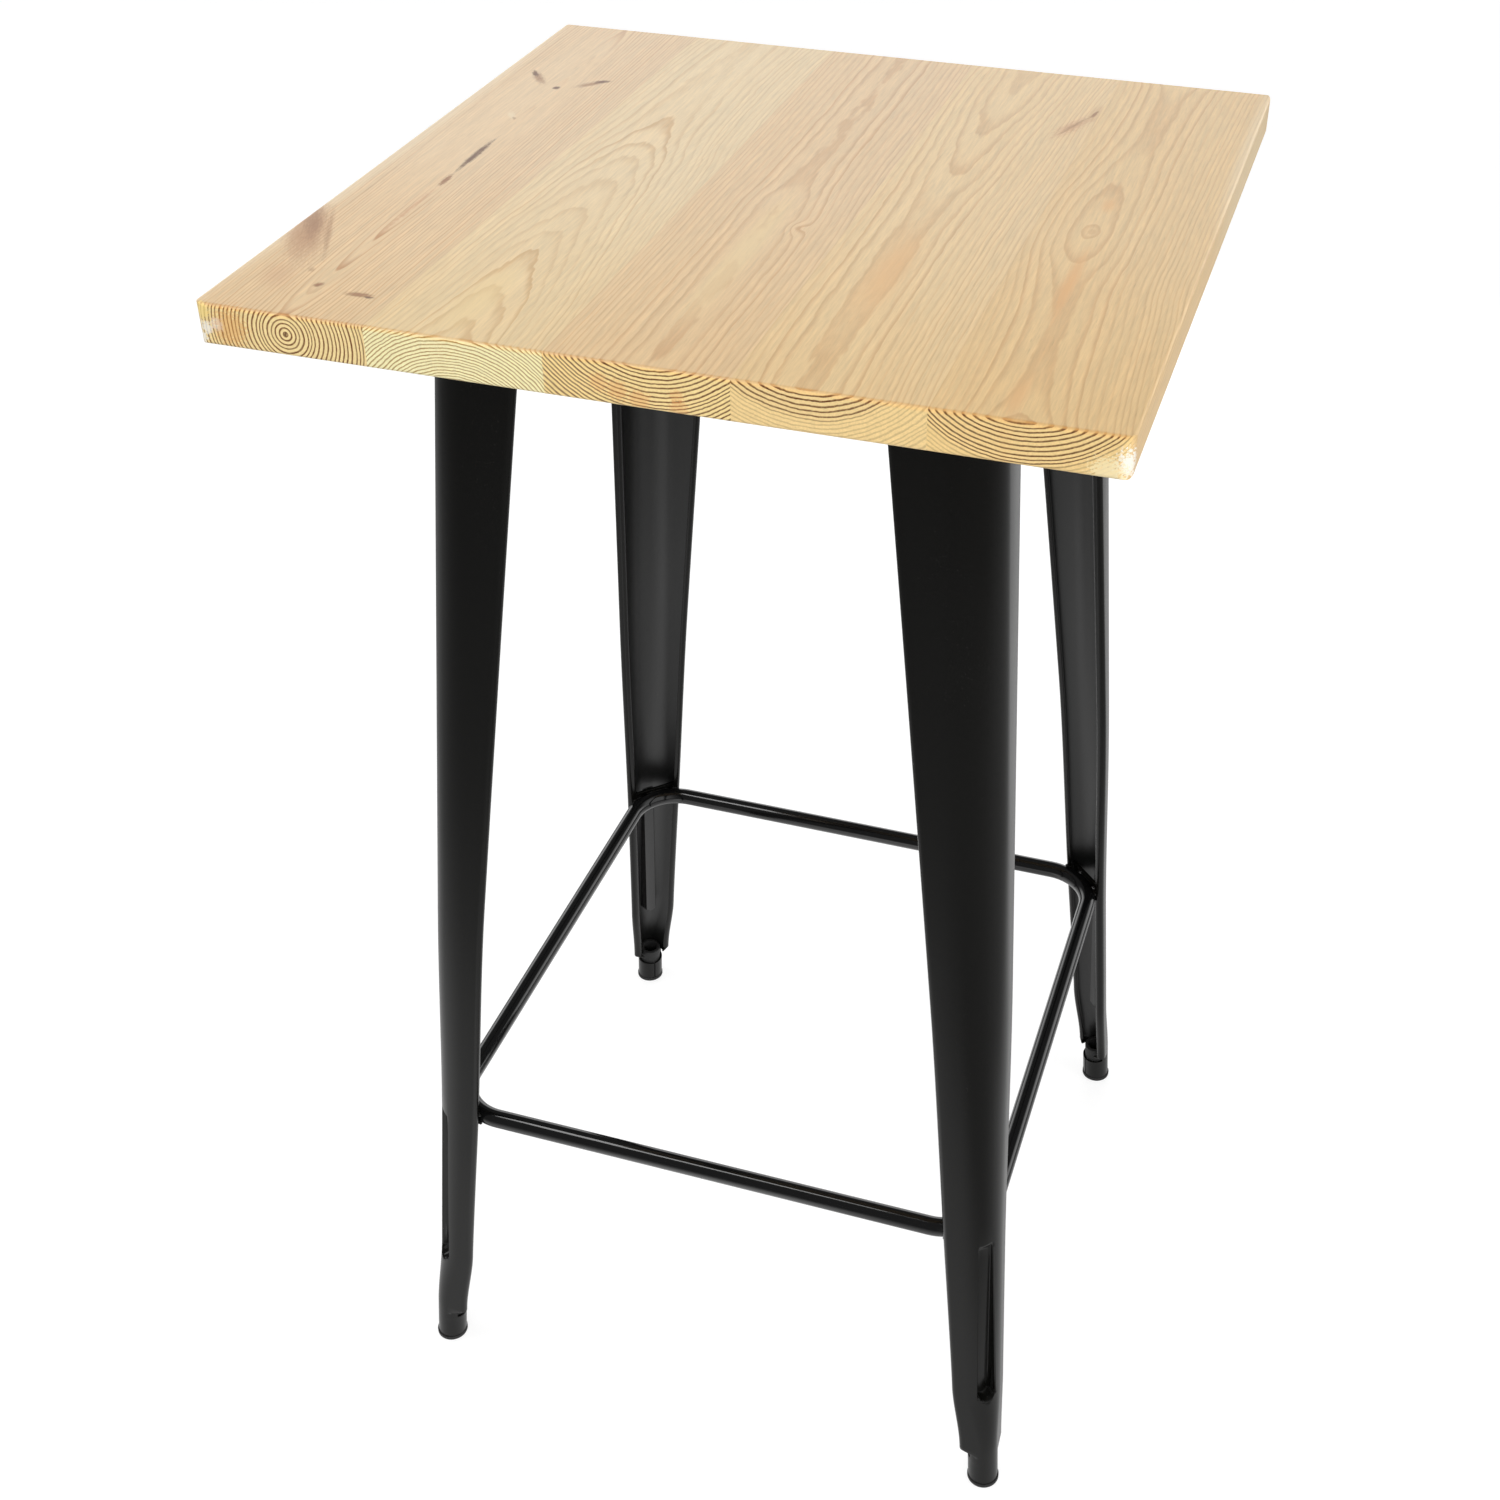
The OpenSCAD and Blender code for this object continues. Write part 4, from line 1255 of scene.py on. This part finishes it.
# ---- Dress the table ---------------------------------------------------------

black_paint = coated_material("black_leg_paint", (0.0034, 0.0033, 0.0028), roughness=0.24,
                              spread=0.10, peel=0.000012, level=0.25, dust=0.2)
# Paler, glossier copy of the leg paint for the inside of the sheet: painted light that brightens the
# insides of the legs.
paint_lit_inside = coated_material("black_inner_paint", (0.006, 0.006, 0.0058), roughness=0.34,
                              spread=0.12, peel=0.000012, level=0.6, dust=0.3)
tube_paint = coated_material("black_tube_paint", (0.004, 0.004, 0.0042), roughness=0.11,
                             spread=0.05, peel=0.000006, level=0.6, dust=0.1)
frame_paint = coated_material("black_frame_paint", (0.018, 0.018, 0.018), roughness=0.5,
                              spread=0.12, peel=0.00002, level=0.4, dust=0.4)
rubber = coated_material("moulded_rubber", (0.021, 0.021, 0.021), roughness=0.62,
                         spread=0.1, peel=0.00002, level=0.4, dust=0.5)
zinc = coated_material("zinc_plate", (0.56, 0.57, 0.57), roughness=0.36,
                       spread=0.16, peel=0.000006, level=0.5, dust=0.15)
zinc.node_tree.nodes["Principled BSDF"].inputs["Metallic"].default_value = 0.95

for node_name, board in BOARDS.items():
    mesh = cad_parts[node_name].data
    mesh.materials.clear()
    mesh.materials.append(pine_board(node_name.replace("top_stave", "pine_board"), board))

leg = pressed_leg()
foot = rubber_foot()
ring = footrest_sizes()
tube = footrest_quarter(ring)
bracket = footrest_bracket(ring)
rail = folded_rail()
plate = corner_plate()
for k, corner in enumerate(CORNERS):
    make_piece("pressed_leg_" + corner, leg.turned(k), black_paint, ["leg_" + corner],
               lining=paint_lit_inside)
    make_piece("rubber_foot_" + corner, foot.turned(k), rubber, ["foot_" + corner],
               35)
    make_piece("footrest_bar_" + corner, bracket.turned(k), black_paint, ["bracket_" + corner])
    make_piece("frame_plate_" + corner, plate.turned(k), frame_paint, ["corner_plate_" + corner],
               30)
for k, side in enumerate(SIDES):
    make_piece("footrest_tube_" + side, tube.turned(k), tube_paint, ["footrest_" + side])
    make_piece("frame_rail_" + side, rail.turned(k), frame_paint, ["rail_" + side],
               30)

places = bolt_places()
make_piece("dome_bolts", leg_bolts(places), zinc, ["leg_bolts"], 35)
make_piece("plain_washers", leg_washers(places), zinc, ["leg_bolt_washers"], 35)
make_piece("hexagon_nuts", leg_nuts(places), zinc, ["leg_bolt_nuts"], 30)
make_piece("pan_head_screws", wood_screws(), zinc, ["wood_screws"], 35)

# ---- Stage, light and camera -------------------------------------------------

SKY_LIGHT = 0.42
CAMERA_AZIMUTH = 17.677
CAMERA_ELEVATION = 36.661
CAMERA_AIM = (0.01137, 0, 0.56561)
CAMERA_FAR = 1.71416
SENSOR_MM = 36
FRAME_PX = 1500
FOCAL_PX = 2008.49
SHIFT_PX = -56


def make_floor():
    """A white floor, lit as the camera and the table's gloss see it, and clear from below."""
    mesh = bpy.data.meshes.new("studio_floor")
    work = bmesh.new()
    bmesh.ops.create_circle(work, cap_ends=True, segments=96, radius=14)
    work.to_mesh(mesh)
    work.free()
    floor = bpy.data.objects.new("studio_floor", mesh)
    floor.location = (0, 0, -0.0002)
    bpy.context.scene.collection.objects.link(floor)
    material, net, shader, spot = new_material("studio_floor", 0.1)
    shader.inputs["Base Color"].default_value = (0.3, 0.3, 0.3, 1)
    shader.inputs["Roughness"].default_value = 0.9
    shader.inputs["Emission Color"].default_value = (1, 1, 1, 1)
    place = net.separate(spot)
    x, y = place["X"], place["Y"]
    far = net.ramp(net.vector("LENGTH", spot, out="Value"), 0.8, 5.0)
    from_front = net.math("POWER", net.ramp(y, -1.8, -0.45, smooth=False), 3.0)
    from_left = net.ramp(x, -1.3, -0.4)
    dim_back = net.ramp(y, -0.9, -0.1, 1.0, 0.45)
    middle = net.times(net.ramp(x, -0.34, -0.1), net.ramp(x, 0.1, -0.02))
    dark_right = net.math("MAXIMUM",
                          net.times(net.ramp(x, 0.25, 0.6), net.ramp(y, 0.1, -0.45)),
                          net.ramp(x, 0.66, 0.9, 0.0, 0.88))
    gloss = net.times(from_front, from_left, dim_back, net.times_plus(middle, 0.9, 1.0),
                      net.minus(1.0, dark_right))
    path = net.add("LightPath").outputs
    mirrored = net.math("MAXIMUM", path["Is Glossy Ray"], path["Is Transmission Ray"])
    seen = net.times(path["Is Camera Ray"], net.times_plus(far, 0.1, 0.77))
    net.link(net.plus(seen, net.times(mirrored, gloss)), shader.inputs["Emission Strength"])
    from_below = net.add("NewGeometry").outputs["Backfacing"]
    net.link(net.minus(1.0, from_below), shader.inputs["Alpha"])
    mesh.materials.append(material)


def make_sky():
    """A white surround, whose sides and low band are lit apart as the gloss mirrors them."""
    world = bpy.data.worlds.new("studio")
    bpy.context.scene.world = world
    world.use_nodes = True
    net = Net(world.node_tree)
    path = net.add("LightPath").outputs
    mirrored = net.math("MAXIMUM", path["Is Glossy Ray"], path["Is Transmission Ray"])
    side = net.separate(net.add("TexCoord").outputs["Generated"])
    to_right = net.ramp(side["X"], 0.1, 0.75, 0.15, 1.1)
    low_band = net.ramp(side["Z"], 0.25, 0.48, 1.95, 0.1)
    behind = net.ramp(side["Y"], 0.2, 0.6)
    around = net.plus(net.times(to_right, net.minus(1.0, behind)), net.times(low_band, behind))
    sky = world.node_tree.nodes["Background"]
    sky.inputs["Color"].default_value = (1, 1, 1, 1)
    plain = net.times_plus(path["Is Camera Ray"], 1.0 - SKY_LIGHT, SKY_LIGHT)
    gloss = net.times(mirrored, net.minus(around, SKY_LIGHT))
    net.link(net.plus(plain, gloss), sky.inputs["Strength"])


def softbox(name, place, aim, size, power, mirrored=False):
    lamp = bpy.data.lights.new(name, "AREA")
    lamp.shape = "RECTANGLE"
    lamp.size, lamp.size_y = size
    lamp.energy = power
    holder = bpy.data.objects.new(name, lamp)
    holder.visible_glossy = mirrored
    holder.location = place
    holder.rotation_euler = (Vector(aim) - Vector(place)).to_track_quat("-Z", "Y").to_euler()
    bpy.context.scene.collection.objects.link(holder)


def make_camera():
    azimuth, elevation = math.radians(CAMERA_AZIMUTH), math.radians(CAMERA_ELEVATION)
    back = Vector((math.sin(azimuth) * math.cos(elevation),
                   -math.cos(azimuth) * math.cos(elevation), math.sin(elevation)))
    right = Vector((math.cos(azimuth), math.sin(azimuth), 0))
    turn = Matrix((right, back.cross(right), back)).transposed().to_4x4()
    lens = bpy.data.cameras.new("camera")
    lens.sensor_width = SENSOR_MM
    lens.lens = SENSOR_MM * FOCAL_PX / FRAME_PX
    lens.shift_x = SHIFT_PX / FRAME_PX
    camera = bpy.data.objects.new("camera", lens)
    camera.matrix_world = Matrix.Translation(Vector(CAMERA_AIM) + back * CAMERA_FAR) @ turn
    bpy.context.scene.collection.objects.link(camera)
    bpy.context.scene.camera = camera


make_floor()
make_sky()
softbox("overhead_softbox", (-0.9, -0.5, 3.0), (0, 0, 0.9), (1.0, 1.0), 17.3, mirrored=True)
softbox("right_softbox", (2.4, -0.3, 1.0), (0, 0, 1.0), (1.8, 0.9), 28)
softbox("back_softbox", (-0.6, 2.3, 2.4), (-0.1, 0.1, 1.0), (2.0, 1.4), 14)
softbox("low_back_softbox", (0.0, 2.5, 1.0), (0, 0, 1.0), (1.8, 0.9), 18)
softbox("left_softbox", (-2.5, 0.0, 1.0), (0, 0, 1.0), (1.8, 0.9), 20)
softbox("front_softbox", (0.5, -2.7, 1.7), (0, 0, 0.9), (2.2, 1.4), 40)
make_camera()
bpy.context.scene.view_settings.view_transform = "Standard"
